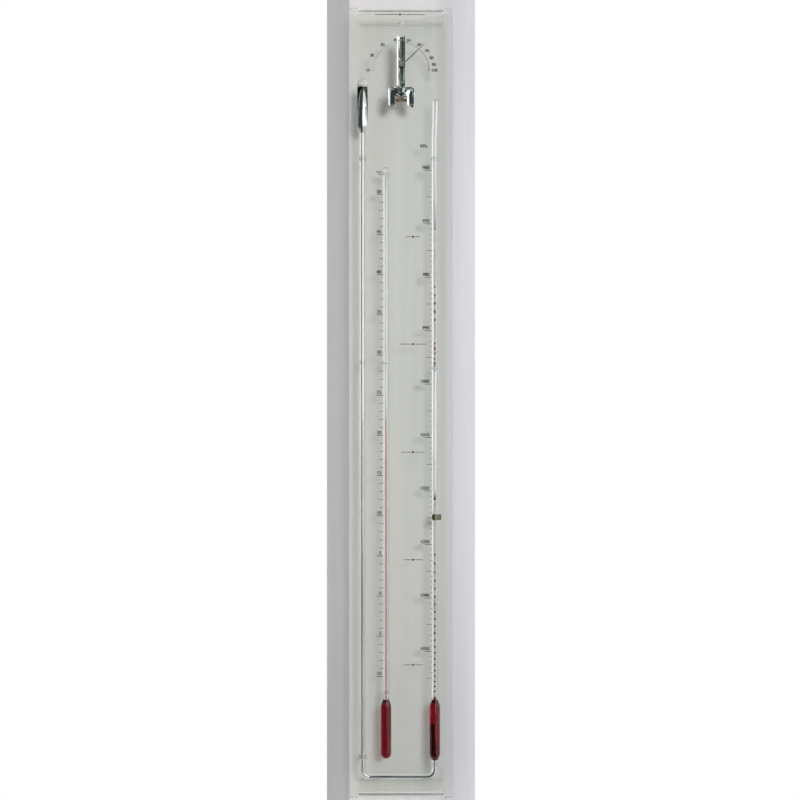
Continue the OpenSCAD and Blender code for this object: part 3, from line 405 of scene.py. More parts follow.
# %% Tie wire, hair and ink
tie_wire, tie_shader = new_finish("tie_wire", (0.62, 0.64, 0.62), 0.5, 0.25)
tie_mask = give_wear(tie_wire, tie_shader, 0.45, 0.2, 900)
vary_color(tie_wire, tie_shader, tie_mask, (0.5, 0.52, 0.5), (0.72, 0.74, 0.72))
give_relief(tie_wire, tie_shader, 0.3, 0.0001, 900, 9000)

hair_finish, hair_shader = new_finish("hair", (0.2, 0.19, 0.16), 0.5, Sheen_Weight=0.3)
hair_mask = give_wear(hair_finish, hair_shader, 0.35, 0.3, 2500)
vary_color(hair_finish, hair_shader, hair_mask, (0.1, 0.095, 0.08), (0.26, 0.25, 0.21))
give_relief(hair_finish, hair_shader, 0.6, 0.0002, 2500, 12000)

ink, ink_shader = new_finish("printed_ink", (0.02, 0.022, 0.02), 0.5)
ink_mask = give_wear(ink, ink_shader, 0.4, 0.3, 800)
vary_color(ink, ink_shader, ink_mask, (0.012, 0.014, 0.012), (0.035, 0.038, 0.035))
print("hair and ink made")

# %% [markdown]
# Most CAD solids already have the right shape, so they only get their finish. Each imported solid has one
# material slot, and the record says which finish that is. Swapping the slot's material keeps the solid
# itself untouched.

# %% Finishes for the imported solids
FINISHES = {
    "clear_acrylic": acrylic,
    "clear_glass": glass,
    "mercury": mercury,
    "dark_red_liquid": red_liquid_finish,
    "pale_red_liquid": pale_finish,
    "hair": hair_finish,
    "tie_wire": tie_wire,
    **METALS,
}
SADDLES = ("long_limb_saddles", "scale_limb_saddles", "thermometer_saddles")
for name, solid in nodes.items():
    for place, slot in enumerate(solid.material_slots):
        finish = FINISHES[slot.material.name.split(".")[0]]
        solid.material_slots[place].material = saddle_acrylic if name in SADDLES else finish
print("finishes on", len(nodes), "solids")

# %% [markdown]
# Column and fork are bright mirrors, and a mirror shows every slope. On the real ones the channels open to
# the front with sloping flanks, which catch the light from the right as white strips. So these two solids
# are copied, their flat faces are joined, and the rims and fillets of the channels are lowered into such
# flanks. The copies replace the solids and keep their size.

# %% Polished column and fork
CHANNEL_R = 2.0
AT_FRONT, CLOSE = 0.02, 0.01
SHARP_ANGLE = math.radians(25)


def sloped_copy(node, name, finish, channel_depth, rim_drop, slope, reach, outside=1.0):
    """A copy of a solid whose channel has sloping flanks. The flank starts rim_drop under the front at the
    rim, falls by slope for each millimetre across and ends at a share, reach, of the fillet's width."""
    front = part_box(node)[0].y
    shape = bmesh.new()
    shape.from_mesh(nodes[node].data)
    bmesh.ops.remove_doubles(shape, verts=shape.verts, dist=1e-6)
    bmesh.ops.dissolve_limit(shape, angle_limit=math.radians(1), verts=shape.verts, edges=shape.edges)
    depth = {v: (v.co.y - front) / MM for v in shape.verts}
    inner_rim = [v for v in shape.verts if depth[v] < AT_FRONT and abs(v.co.x) / MM < outside
                 and any(depth[e.other_vert(v)] > 1 for e in v.link_edges)]
    fillet = [v for v in shape.verts
              if channel_depth - CHANNEL_R - CLOSE < depth[v] < channel_depth - CLOSE]
    for v in fillet:
        sine = min(max(1 - (channel_depth - depth[v]) / CHANNEL_R, 0), 1)
        across = 1 - math.sqrt(1 - sine * sine)
        if across < reach:
            v.co.y = front + (rim_drop + slope * across * CHANNEL_R) * MM
    for v in inner_rim:
        v.co.y = front + rim_drop * MM
    bmesh.ops.remove_doubles(shape, verts=shape.verts, dist=1e-6)
    bmesh.ops.triangulate(shape, faces=[f for f in shape.faces if len(f.verts) > 4])
    mesh = bpy.data.meshes.new(name)
    shape.to_mesh(mesh)
    shape.free()
    mesh.polygons.foreach_set("use_smooth", [True] * len(mesh.polygons))
    mesh.set_sharp_from_angle(angle=SHARP_ANGLE)
    mesh.materials.append(finish)
    piece = bpy.data.objects.new(name, mesh)
    bpy.context.scene.collection.objects.link(piece)
    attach(piece, "root")
    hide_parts(node)
    print(name, len(inner_rim), "rim points and", len(fillet), "fillet points moved")
    return piece


sloped_copy("hygrometer_fork", "polished_fork", METALS["chromed_brass"], 4.6, 0.22, 0.45, 0.4, outside=30)
sloped_copy("hygrometer_column", "polished_column", rubbed_chrome, 5.0, 0.4, 0.45, 0.45, outside=4.5)

# %% [markdown]
# The glass and the liquids are rebuilt as finer meshes. A glass tube is a skin of rings along its centre
# line, first down the outside and then back along the bore, so that inside and outside are one closed
# surface. The rings know which way is sideways, which keeps the skin from twisting in the bends.

# %% Skins of rings
RING_SIDES = 56
DEPTH = Vector((0, 1, 0))


def sideways(tangent):
    """The ring direction in the plane of the fold that goes with a tangent."""
    return Vector((-tangent.z, 0, tangent.x))


def mesh_object(name, verts, faces, finish, body="root", slot=None, smooth=True):
    mesh = bpy.data.meshes.new(name)
    mesh.from_pydata([tuple(v) for v in verts], [], faces)
    mesh.validate()
    if smooth:
        mesh.polygons.foreach_set("use_smooth", [True] * len(mesh.polygons))
    mesh.materials.append(finish)
    piece = bpy.data.objects.new(name, mesh)
    bpy.context.scene.collection.objects.link(piece)
    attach(piece, body)
    return piece


def ring_skin(stations, sides=RING_SIDES):
    """Vertices and faces of a closed skin through (centre, side, radius) stations; a radius of 0 is a tip."""
    verts, faces, rows = [], [], []
    for centre, side, radius in stations:
        if radius <= 0:
            rows.append([len(verts)])
            verts.append(centre)
            continue
        rows.append(list(range(len(verts), len(verts) + sides)))
        for j in range(sides):
            turn = 2 * math.pi * j / sides
            verts.append(centre + radius * (math.cos(turn) * side + math.sin(turn) * DEPTH))
    for low, high in zip(rows, rows[1:]):
        for j in range(sides):
            k = (j + 1) % sides
            if len(low) == 1:
                faces.append((low[0], high[j], high[k]))
            elif len(high) == 1:
                faces.append((low[j], high[0], low[k]))
            else:
                faces.append((low[j], high[j], high[k], low[k]))
    return verts, faces


def joined(parts):
    """Several (verts, faces) lists as one."""
    verts, faces = [], []
    for part_verts, part_faces in parts:
        faces += [tuple(i + len(verts) for i in face) for face in part_faces]
        verts += part_verts
    return verts, faces


# %% [markdown]
# The outline of each limb repeats what glass blowing gives: a round end, a bulb, and a drawn shoulder
# where the wide glass narrows to tube. The shoulder is half a cosine wave.

# %% Outlines of the glass
TUBE_R, BORE_R = 3.6, 1.0
BULB_R, BULB_IN_R = 6.7, 5.8
SHOULDER = 11.0
LONG_X, SCALE_X, THERMO_X = -48.5, 42.6, -18.9
FOLD_R, RUN_H = 10.0, 28.9
FOLD_TOP = RUN_H + FOLD_R
NECK_H, TOP_H = 838.5, 907.6
CISTERN_LOW, CISTERN_HIGH = 48.0, 128.0
TIP_H, TIP_R, TIP_L = 881.0, 3.8, 34.0
THERMO_LOW, THERMO_NECK, THERMO_TOP = 52.2, 128.2, 796.4
STEPS = 14


def dome(radius, height, rising=True):
    """(height, radius) pairs of a round end, from its tip to its widest ring."""
    sign = 1 if rising else -1
    return [(height + sign * radius * math.sin(a), radius * math.cos(a) if k else 0.0)
            for k in range(STEPS + 1) for a in [math.pi / 2 * (1 - k / STEPS)]]


def shoulder(r_from, h_from, r_to, h_to):
    return [(h_from + (h_to - h_from) * t, r_from + (r_to - r_from) * (1 - math.cos(math.pi * t)) / 2)
            for t in [k / STEPS for k in range(STEPS + 1)]]


def spread_out(h_from, h_to, radius, pieces=10):
    """Rings of one radius between two heights, without the two ends."""
    return [(h_from + (h_to - h_from) * k / pieces, radius) for k in range(1, pieces)]


def upright(x, pairs, tangent_z, sway=None):
    """Stations of a straight limb through (height, radius) pairs."""
    side = sideways(Vector((0, 0, tangent_z)))
    return [(Vector(((x + (sway(h) if sway else 0)) * MM, TUBE_Y, level(h))), side, r * MM)
            for h, r in pairs]


def bend(centre_x, start, radius, pieces=18):
    """Stations of a quarter bend, from a start angle in degrees, without its ends."""
    stations = []
    for k in range(1, pieces):
        turn = math.radians(start + 90 * k / pieces)
        centre = Vector(((centre_x + FOLD_R * math.cos(turn)) * MM, TUBE_Y,
                         level(FOLD_TOP + FOLD_R * math.sin(turn))))
        stations.append((centre, sideways(Vector((-math.sin(turn), 0, math.cos(turn)))), radius * MM))
    return stations


def run(radius, pieces=6):
    """Stations of the level run between the two bends."""
    low, high = LONG_X + FOLD_R, SCALE_X - FOLD_R
    side = sideways(Vector((1, 0, 0)))
    return [(Vector(((low + (high - low) * k / pieces) * MM, TUBE_Y, level(RUN_H))), side, radius * MM)
            for k in range(pieces + 1)]


def fold(radius):
    """Stations of both bends and the run."""
    return bend(LONG_X + FOLD_R, 180, radius) + run(radius) + bend(SCALE_X - FOLD_R, 270, radius)


def open_end_sway(h):
    """The open end stands slightly to the right of its limb."""
    t = min(max((h - 838) / 16, 0), 1)
    return 1.2 * t * t * (3 - 2 * t)


print("outlines ready")

# %% [markdown]
# The barometer's glass goes from the closed top bulb down the long limb, through the fold, up through the
# lower bulb and along the scale limb to its open end. Where a liquid touches the glass there is no air in
# between, so light must not meet a glass-to-air surface there. The glass therefore has a bore surface only
# along the empty stretches, and each liquid is a body inside the glass.

# %% Barometer glass
def limb_stations(r_tube, r_bulb, r_tip):
    down = dome(r_bulb, TOP_H - BULB_R)
    down += shoulder(r_bulb, NECK_H + SHOULDER, r_tube, NECK_H)
    down += spread_out(NECK_H, FOLD_TOP, r_tube, 12) + [(FOLD_TOP, r_tube)]
    up = [(FOLD_TOP, r_tube)] + shoulder(r_tube, CISTERN_LOW, r_bulb, CISTERN_LOW + SHOULDER)
    up += shoulder(r_bulb, CISTERN_HIGH - SHOULDER, r_tube, CISTERN_HIGH)
    up += spread_out(CISTERN_HIGH, 836, r_tube, 10)
    up += shoulder(r_tube, 836, r_tip, 858)
    return upright(LONG_X, down, -1) + fold(r_tube) + upright(SCALE_X, up, 1, open_end_sway)


def cavity(x, low, high, radius, sway=None):
    """The wall of an empty stretch of bore, closed at both ends."""
    rows = [(low, 0.0), (low + 0.05, radius), *spread_out(low, high, radius, 8), (high - 0.05, radius),
            (high, 0.0)]
    return ring_skin(upright(x, rows[::-1], 1, sway), 40)


MERCURY_TOP, MERCURY_LOW = 899.0, 96.0
RED_TOP, BROKEN_LOW, BROKEN_TOP = 377.6, 551.5, 717.5

outside = limb_stations(TUBE_R, BULB_R, TIP_R)
outside += upright(SCALE_X, [(TIP_H - 1, TIP_R), (TIP_H - 0.3, TIP_R - 0.25), (TIP_H, TIP_R - 0.9)], 1,
                   open_end_sway)
open_bore = [(BROKEN_TOP, 0.0), (BROKEN_TOP + 0.05, BORE_R), (838, BORE_R), (846, BORE_R),
             (TIP_H - 12, BORE_R + 0.3), (TIP_H - 1, BORE_R + 0.5), (TIP_H, BORE_R + 1.1)]
outside += upright(SCALE_X, open_bore[::-1], 1, open_end_sway)
vacuum = dome(BULB_IN_R, TOP_H - BULB_R) + [(MERCURY_TOP - 2, BULB_IN_R), (MERCURY_TOP - 2.05, 0.0)]
barometer_parts = [ring_skin(outside), ring_skin(upright(LONG_X, vacuum, 1)),
                   cavity(SCALE_X, RED_TOP, BROKEN_LOW, BORE_R)]
barometer_glass = mesh_object("barometer_glass", *joined(barometer_parts), glass, slot="clear_glass")
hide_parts("barometer_tube")
print(barometer_glass.name, len(barometer_glass.data.vertices), "vertices")

# %% [markdown]
# The mercury fills the long limb and the fold. Its upper end stands in the top bulb as a low dome,
# because mercury doesn't wet glass. In the lower bulb a film of red liquid separates it from the wall.

# %% Mercury
INTO_GLASS = 0.03


def meniscus(radius, height, rise, steps=8):
    """(height, radius) pairs of a liquid's end, from its middle to its rim."""
    return [(height + rise * math.cos(math.pi / 2 * k / steps),
             radius * math.sin(math.pi / 2 * k / steps) if k else 0.0) for k in range(steps + 1)]


def mercury_stations():
    r_tube, r_bulb, r_coated = BORE_R + INTO_GLASS, BULB_IN_R + INTO_GLASS, BULB_IN_R - 0.8
    down = meniscus(r_bulb, MERCURY_TOP - 0.8, 0.8)
    down += shoulder(r_bulb, NECK_H + SHOULDER, r_tube, NECK_H) + [(FOLD_TOP, r_tube)]
    up = shoulder(r_tube, CISTERN_LOW, r_coated, CISTERN_LOW + SHOULDER)
    up += meniscus(r_coated, MERCURY_LOW - 0.8, 0.8)[::-1]
    return upright(LONG_X, down, -1) + fold(r_tube) + upright(SCALE_X, up, 1)


mercury_column = mesh_object("mercury_column", *ring_skin(mercury_stations()), mercury, slot="mercury")
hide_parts("mercury_fill")
print(mercury_column.name, len(mercury_column.data.vertices), "vertices")

# %% [markdown]
# Red liquid stands on the lower mercury and creeps down its side as a film, so the lower bulb looks dark
# red with bright streaks. Its skin goes up the wall of the bulb to the neck, and back down round the
# mercury.

# %% Red liquid in the lower bulb
def red_stations():
    r_tube, r_bulb, r_coated = BORE_R + INTO_GLASS, BULB_IN_R + INTO_GLASS, BULB_IN_R - 0.8
    low = CISTERN_LOW + 3.0
    outer = [pair for pair in shoulder(r_tube, CISTERN_LOW, r_bulb, CISTERN_LOW + SHOULDER)
             if pair[0] > low]
    outer += shoulder(r_bulb, CISTERN_HIGH - SHOULDER, r_tube, CISTERN_HIGH)
    outer += [(CISTERN_HIGH + 2, r_tube), (CISTERN_HIGH + 2.6, 0)]
    inner = [pair for pair in shoulder(r_tube, CISTERN_LOW, r_coated, CISTERN_LOW + SHOULDER)
             if pair[0] > low]
    inner += meniscus(r_coated, MERCURY_LOW - 0.75, 0.85)[::-1]
    return upright(SCALE_X, inner[::-1] + outer, 1)


red_body = mesh_object("red_liquid_body", *ring_skin(red_stations()), red_liquid_finish,
                       slot="dark_red_liquid")
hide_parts("red_liquid")
print(red_body.name, len(red_body.data.vertices), "vertices")

# %% [markdown]
# Above the bulb the red liquid clings to the bore as a pale film with small dark droplets in it. The
# droplets stand further apart as they rise, as the photograph shows.

# %% Pale film and droplets
def film_stretch(low, high):
    outer_r, inner_r = BORE_R + INTO_GLASS, BORE_R - 0.25
    rows = [(low + 0.2, outer_r), (high - 0.4, outer_r), (high, (outer_r + inner_r) / 2),
            (high - 0.4, inner_r), (low + 0.2, inner_r), (low, (outer_r + inner_r) / 2)]
    return upright(SCALE_X, rows + rows[:1], 1)


film = mesh_object("pale_film", *joined([ring_skin(film_stretch(CISTERN_HIGH + 3, RED_TOP), 40),
                                         ring_skin(film_stretch(BROKEN_LOW, BROKEN_TOP), 40)]),
                   pale_finish, slot="pale_red_liquid")
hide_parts("pale_thread")

DROPLET_R, DROPLET_L, BIG_DROPLET_L = 0.62, 2.6, 4.8


def droplet_stations(height, length):
    half = length / 2 - DROPLET_R
    rows = [(height - half - DROPLET_R * math.cos(a), DROPLET_R * math.sin(a) if k else 0.0)
            for k in range(7) for a in [math.pi / 2 * k / 6]]
    rows += [(2 * height - h, r) for h, r in rows[::-1]]
    return upright(SCALE_X, rows, 1)


droplet_places = [(CISTERN_HIGH + 9 + 6 * k + 0.13 * k * k, DROPLET_L) for k in range(21)]
droplet_places += [(604.2 + 10.4 * k, BIG_DROPLET_L if k == 1 else DROPLET_L) for k in range(5)]
droplet_places += [(555.5 + 6.4 * k, BIG_DROPLET_L if k == 2 else DROPLET_L) for k in range(4)]
droplets = mesh_object("red_droplets", *joined([ring_skin(droplet_stations(*place), 20)
                                                for place in droplet_places]),
                       droplet_finish, slot="dark_red_liquid")
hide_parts("thread_droplets")
print(len(droplet_places), "droplets")

# %% [markdown]
# The thermometer is one straight glass with a long bulb at the bottom. Its spirit fills the bulb and the
# bore up to about 21 degrees.

# %% Thermometer glass and spirit
THERMO_BORE, SPIRIT_TOP = 0.5, 472.0


def thermometer_rows(r_stem, r_bulb, top_rows):
    rows = dome(r_bulb, THERMO_LOW + BULB_R, rising=False)
    rows += shoulder(r_bulb, THERMO_NECK - SHOULDER, r_stem, THERMO_NECK)
    return rows + top_rows


stem_rows = thermometer_rows(TUBE_R, BULB_R, spread_out(THERMO_NECK, THERMO_TOP - TUBE_R, TUBE_R, 9)
                             + dome(TUBE_R, THERMO_TOP - TUBE_R)[::-1])
thermometer_glass = mesh_object(
    "thermometer_glass",
    *joined([ring_skin(upright(THERMO_X, stem_rows, 1)),
             cavity(THERMO_X, SPIRIT_TOP, THERMO_TOP - 8, THERMO_BORE)]),
    glass, slot="clear_glass")
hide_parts("thermometer_tube")

spirit_rows = thermometer_rows(THERMO_BORE + INTO_GLASS, BULB_IN_R + INTO_GLASS,
                               [(SPIRIT_TOP - 0.4, THERMO_BORE + INTO_GLASS), (SPIRIT_TOP, 0)])
spirit = mesh_object("red_spirit", *ring_skin(upright(THERMO_X, spirit_rows, 1)), spirit_finish,
                     slot="dark_red_liquid")
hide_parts("thermometer_spirit")
print(thermometer_glass.name, "and", spirit.name)

# %% [markdown]
# The scales are printed on the front of the plate. Printing is thin ink with straight edges, so each line
# is a very flat box, and each number is a text object turned into a mesh. All marks of one scale become
# one piece, which rides with the plate.

# %% Ink helpers
INK_T = 0.05 * MM
INK_BACK_Y = PLATE_FACE_Y - 0.004 * MM


def ink_line(start, end, width):
    """A straight ink line of any slant between two (x, z) points, in millimetres."""
    a, b = Vector((start[0], 0, start[1])) * MM, Vector((end[0], 0, end[1])) * MM
    across = (b - a).normalized().cross(Vector((0, 1, 0))) * width * MM / 2
    corners = [a - across, b - across, b + across, a + across]
    verts = [Vector((c.x, y, c.z)) for y in (INK_BACK_Y - INK_T, INK_BACK_Y) for c in corners]
    faces = [(0, 3, 2, 1), (4, 5, 6, 7), (0, 1, 5, 4), (1, 2, 6, 5), (2, 3, 7, 6), (3, 0, 4, 7)]
    return verts, faces


def ink_text(text, x, z, size, align="CENTER", weight=0.0):
    """Verts and faces of a text in ink; x and z are the middle of its line, in millimetres."""
    data = bpy.data.curves.new("ink_text", "FONT")
    data.body = text
    data.size = size * MM / 0.73
    data.align_x = align
    data.align_y = "CENTER"
    data.extrude = INK_T / 2
    data.offset = weight * MM
    letters = bpy.data.objects.new("ink_text", data)
    bpy.context.scene.collection.objects.link(letters)
    letters.rotation_euler = Euler((math.radians(90), 0, 0))
    letters.location = (x * MM, INK_BACK_Y - INK_T / 2, z * MM)
    bpy.context.view_layer.update()
    mesh = bpy.data.meshes.new_from_object(letters.evaluated_get(bpy.context.evaluated_depsgraph_get()))
    verts = [letters.matrix_world @ v.co for v in mesh.vertices]
    faces = [tuple(p.vertices) for p in mesh.polygons]
    bpy.data.objects.remove(letters)
    bpy.data.meshes.remove(mesh)
    return verts, faces


def bold_text(text, x, z, size, align):
    """The same text three times, slightly apart, as a heavy hand prints it."""
    return [ink_text(text, x + shift, z, size, align, 0.04) for shift in (-0.16, 0.0, 0.16)]


def print_on_plate(name, parts):
    piece = mesh_object(name, *joined(parts), ink, smooth=False)
    print(name, len(parts), "marks")
    return piece


def drawn(height_mm):
    """Height above the plate's lower edge as the frame's millimetres."""
    return FOOT_Z / MM + height_mm


# %% [markdown]
# The pressure scale stands left of the scale limb, from 959 to 1055 hPa. One hectopascal is 6.77 mm here,
# because the two-liquid tube magnifies the change. Every fifth line is longer, every tenth has a number.

# %% Pressure scale
HPA_960_H, HPA_STEP = 794.4, 6.77
TEN_START, FIVE_START, ONE_START, HPA_END = 424.7, 426.7, 430.3, 433.2
TEN_LINE, FINE_LINE = 0.72, 0.6
NUMBER_RISE = 3.4


def pixel_x(pixel):
    """Place across the plate of a pixel column of the photograph, in millimetres."""
    return (pixel - 401) * PIXEL_AT_PLATE / MM


pressure_lines, pressure_numbers = [], []
for hpa in range(959, 1056):
    z = drawn(HPA_960_H - (hpa - 960) * HPA_STEP)
    left = TEN_START if hpa % 10 == 0 else FIVE_START if hpa % 5 == 0 else ONE_START
    width = TEN_LINE if hpa % 10 == 0 else FINE_LINE
    pressure_lines.append(ink_line((pixel_x(left), z), (pixel_x(HPA_END), z), width))
    if hpa % 10 == 0:
        pressure_numbers += bold_text(str(hpa), pixel_x(429.6), z + NUMBER_RISE, 4.4, "RIGHT")
pressure_numbers += bold_text("hPa", pixel_x(423.6), drawn(825.2), 4.6, "CENTER")
print_on_plate("pressure_scale_lines", pressure_lines)
print_on_plate("pressure_scale_numbers", pressure_numbers)

# %% [markdown]
# The temperature scale stands left of the thermometer, from -10 to 50 degrees, with a long line and a
# number at every fifth degree.

# %% Temperature scale
DEGREE_50_H, DEGREE_STEP = 763.9, 10.175
LONG_START, SHORT_START, DEGREE_END = 376.7, 379.6, 383.2
LONG_LINE = 0.75
temperature_lines, temperature_numbers = [], []
for degree in range(-10, 51):
    z = drawn(DEGREE_50_H - (50 - degree) * DEGREE_STEP)
    left = LONG_START if degree % 5 == 0 else SHORT_START
    width = LONG_LINE if degree % 5 == 0 else FINE_LINE
    temperature_lines.append(ink_line((pixel_x(left), z), (pixel_x(DEGREE_END), z), width))
    if degree % 5 == 0:
        temperature_numbers += bold_text(str(abs(degree)), pixel_x(381.6), z + NUMBER_RISE, 4.6, "RIGHT")
temperature_numbers += bold_text("°C", pixel_x(379.2), drawn(790.6), 5.0, "CENTER")
print_on_plate("temperature_scale_lines", temperature_lines)
print_on_plate("temperature_scale_numbers", temperature_numbers)

# %% [markdown]
# The humidity dial is half a circle of small marks round the pointer's pivot. Hair stretches most in dry
# air, so the steps get closer towards 100.

# %% Humidity dial
PIVOT_Z = -58.0
DIAL_R = 35.5
LONG_MARK, SHORT_MARK = 2.4, 1.4
NUMBERS_WIDE, NUMBERS_HIGH, NUMBERS_SIZE = 42.3, 38.9, 3.9


def dial_angle(humidity):
    """Angle above the right-hand horizontal of a humidity in per cent."""
    t = (humidity - 10) / 90
    return math.radians(180 * (1 - t * (1 + 0.52 * (1 - t))))


dial_marks, dial_numbers = [], []
for humidity in range(10, 101, 2):
    turn = dial_angle(humidity)
    reach = LONG_MARK if humidity % 10 == 0 else SHORT_MARK
    low, high = DIAL_R - reach / 2, DIAL_R + reach / 2
    dial_marks.append(ink_line((low * math.cos(turn), PIVOT_Z + low * math.sin(turn)),
                               (high * math.cos(turn), PIVOT_Z + high * math.sin(turn)), FINE_LINE))
for humidity in range(10, 101, 10):
    turn = dial_angle(humidity)
    dial_numbers += bold_text(str(humidity), NUMBERS_WIDE * math.cos(turn),
                              PIVOT_Z + NUMBERS_HIGH * math.sin(turn), NUMBERS_SIZE, "CENTER")
print_on_plate("humidity_dial_marks", dial_marks)
print_on_plate("humidity_dial_numbers", dial_numbers)

# %% [markdown]
# Between the two scales the printing continues with short plain ornaments, a line with a diamond in its
# middle, at the heights that divide the pressure scale. A longer one stands at the top.

# %% Plain divider ornaments
def ornament(x, z, half, size):
    """Two short lines with a diamond between them."""
    parts = [ink_line((x + sign * half, z), (x + sign * size * 1.3, z), 0.7) for sign in (-1, 1)]
    verts = [Vector(((x + dx) * MM, y, (z + dz) * MM)) for y in (INK_BACK_Y - INK_T, INK_BACK_Y)
             for dx, dz in ((-size, 0), (0, -size * 0.8), (size, 0), (0, size * 0.8))]
    faces = [(0, 1, 2, 3), (7, 6, 5, 4), (0, 4, 5, 1), (1, 5, 6, 2), (2, 6, 7, 3), (3, 7, 4, 0)]
    return parts + [(verts, faces)]


divider_marks = []
for height, half in ((710.3, 9.0), (574.3, 17.0), (437.5, 15.0), (301.2, 12.0), (168.0, 12.0)):
    divider_marks += ornament(pixel_x(413), drawn(height), half, 2.0)
divider_marks += ornament(pixel_x(400), drawn(991.8), 31.0, 2.2)
print_on_plate("divider_ornaments", divider_marks)

# %% [markdown]
# The scene round the object is plain: a pale wall behind it, a pale floor below, soft light and a few dark
# and light cards that only mirrors see. The wall is a pale board just as wide as the photograph, with
# white beyond. Wall and floor are one-sided, so a camera behind the object still sees it.

# %% Wall and floor
WALL_Y = plate_high.y - 0.0004
BOARD_HALF = 0.0976


def stage_card(name, corners, material):
    mesh = bpy.data.meshes.new(name)
    mesh.from_pydata(corners, [], [(0, 1, 2, 3)])
    mesh.materials.append(material)
    card = bpy.data.objects.new(name, mesh)
    bpy.context.scene.collection.objects.link(card)
    card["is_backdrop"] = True
    return card


def one_sided(material, shader_output):
    """The front of the face shows the shader; its back lets everything through."""
    facing = add_node(material, "ShaderNodeNewGeometry")
    clear = add_node(material, "ShaderNodeBsdfTransparent")
    mix = add_node(material, "ShaderNodeMixShader")
    link(material, facing.outputs["Backfacing"], mix.inputs["Fac"])
    link(material, shader_output, mix.inputs[1])
    link(material, clear.outputs["BSDF"], mix.inputs[2])
    link(material, mix.outputs["Shader"], material.node_tree.nodes["Material Output"].inputs["Surface"])


wall_paint_and_shade, wall_shader = new_finish("wall_paint_and_shade", (0.6, 0.6, 0.64), 0.9)
wall_shader.inputs["Specular IOR Level"].default_value = 0.1
wall_place = add_node(wall_paint_and_shade, "ShaderNodeTexCoord")
wall_stretch = add_node(wall_paint_and_shade, "ShaderNodeMapping", Scale=(30, 1, 1.2))
wall_cloud = add_node(wall_paint_and_shade, "ShaderNodeTexNoise", Scale=2.2, Detail=4, Roughness=0.6)
wall_streaks = add_node(wall_paint_and_shade, "ShaderNodeMapRange", From_Min=0.3, From_Max=0.72, To_Min=0.95, To_Max=1.04)
wall_parts = add_node(wall_paint_and_shade, "ShaderNodeSeparateXYZ")
wall_across = add_node(wall_paint_and_shade, "ShaderNodeMapRange", From_Min=-BOARD_HALF, From_Max=BOARD_HALF)
wall_shading_ramp = add_node(wall_paint_and_shade, "ShaderNodeValToRGB")
# The tones across the board are painted light and shade. The board is darker left of the plate and lighter
# towards the lamp at the right. It is lighter behind the plate to make up for the plate's dimming, and darker
# behind the plate's right margin. The streaks are the board's uneven paint.
PAINTED_WALL_SHADING = ((-97.0, (0.49, 0.49, 0.505)), (-69.0, (0.49, 0.485, 0.485)), (-66.5, (0.79, 0.775, 0.765)),
              (-36.0, (0.77, 0.755, 0.755)), (0.0, (0.79, 0.78, 0.785)), (44.0, (0.75, 0.745, 0.76)),
              (54.0, (0.66, 0.655, 0.675)), (65.0, (0.64, 0.635, 0.66)), (70.0, (0.665, 0.67, 0.7)),
              (97.0, (0.7, 0.705, 0.74)))
for place, (x, tone) in enumerate(PAINTED_WALL_SHADING):
    at = (x * MM + BOARD_HALF) / (2 * BOARD_HALF)
    steps = wall_shading_ramp.color_ramp.elements
    step = steps[0] if place == 0 else steps.new(at) if place < len(PAINTED_WALL_SHADING) - 1 else steps[-1]
    step.position = at
    step.color = (*tone, 1)
wall_tone_and_shade = add_node(wall_paint_and_shade, "ShaderNodeVectorMath")
wall_tone_and_shade.operation = "SCALE"
link(wall_paint_and_shade, wall_place.outputs["Object"], wall_stretch.inputs["Vector"])
link(wall_paint_and_shade, wall_stretch.outputs["Vector"], wall_cloud.inputs["Vector"])
link(wall_paint_and_shade, wall_cloud.outputs["Fac"], wall_streaks.inputs["Value"])
link(wall_paint_and_shade, wall_place.outputs["Object"], wall_parts.inputs["Vector"])
link(wall_paint_and_shade, wall_parts.outputs["X"], wall_across.inputs["Value"])
link(wall_paint_and_shade, wall_across.outputs["Result"], wall_shading_ramp.inputs["Fac"])
link(wall_paint_and_shade, wall_shading_ramp.outputs["Color"], wall_tone_and_shade.inputs[0])
link(wall_paint_and_shade, wall_streaks.outputs["Result"], wall_tone_and_shade.inputs["Scale"])
link(wall_paint_and_shade, wall_tone_and_shade.outputs["Vector"], wall_shader.inputs["Base Color"])
one_sided(wall_paint_and_shade, wall_shader.outputs["BSDF"])

TALL = (-1.16, 0.16)
stage_card("wall_board", [(-BOARD_HALF, WALL_Y, TALL[0]), (BOARD_HALF, WALL_Y, TALL[0]),
                          (BOARD_HALF, WALL_Y, TALL[1]), (-BOARD_HALF, WALL_Y, TALL[1])], wall_paint_and_shade)

# %% White surroundings
def seen_directly(tree):
    """The tree's Light Path node, and 1 for rays that come from the camera, a mirror or glass."""
    path = tree.nodes.new("ShaderNodeLightPath")
    seen = math_node(tree, "MAXIMUM", path.outputs["Is Camera Ray"], path.outputs["Is Glossy Ray"])
    return path, math_node(tree, "MAXIMUM", seen, path.outputs["Is Transmission Ray"])


white_wall = bpy.data.materials.new("white_surroundings")
white_wall.use_nodes = True
white_tree = white_wall.node_tree
white_tree.nodes.remove(white_tree.nodes["Principled BSDF"])
white_glow = add_node(white_wall, "ShaderNodeEmission", Color=(1, 1, 1, 1), Strength=1.0)
white_paint = add_node(white_wall, "ShaderNodeBsdfDiffuse", Color=(0.85, 0.85, 0.86, 1))
white_mix = add_node(white_wall, "ShaderNodeMixShader")
link(white_wall, seen_directly(white_tree)[1], white_mix.inputs["Fac"])
link(white_wall, white_paint.outputs["BSDF"], white_mix.inputs[1])
link(white_wall, white_glow.outputs["Emission"], white_mix.inputs[2])
one_sided(white_wall, white_mix.outputs["Shader"])

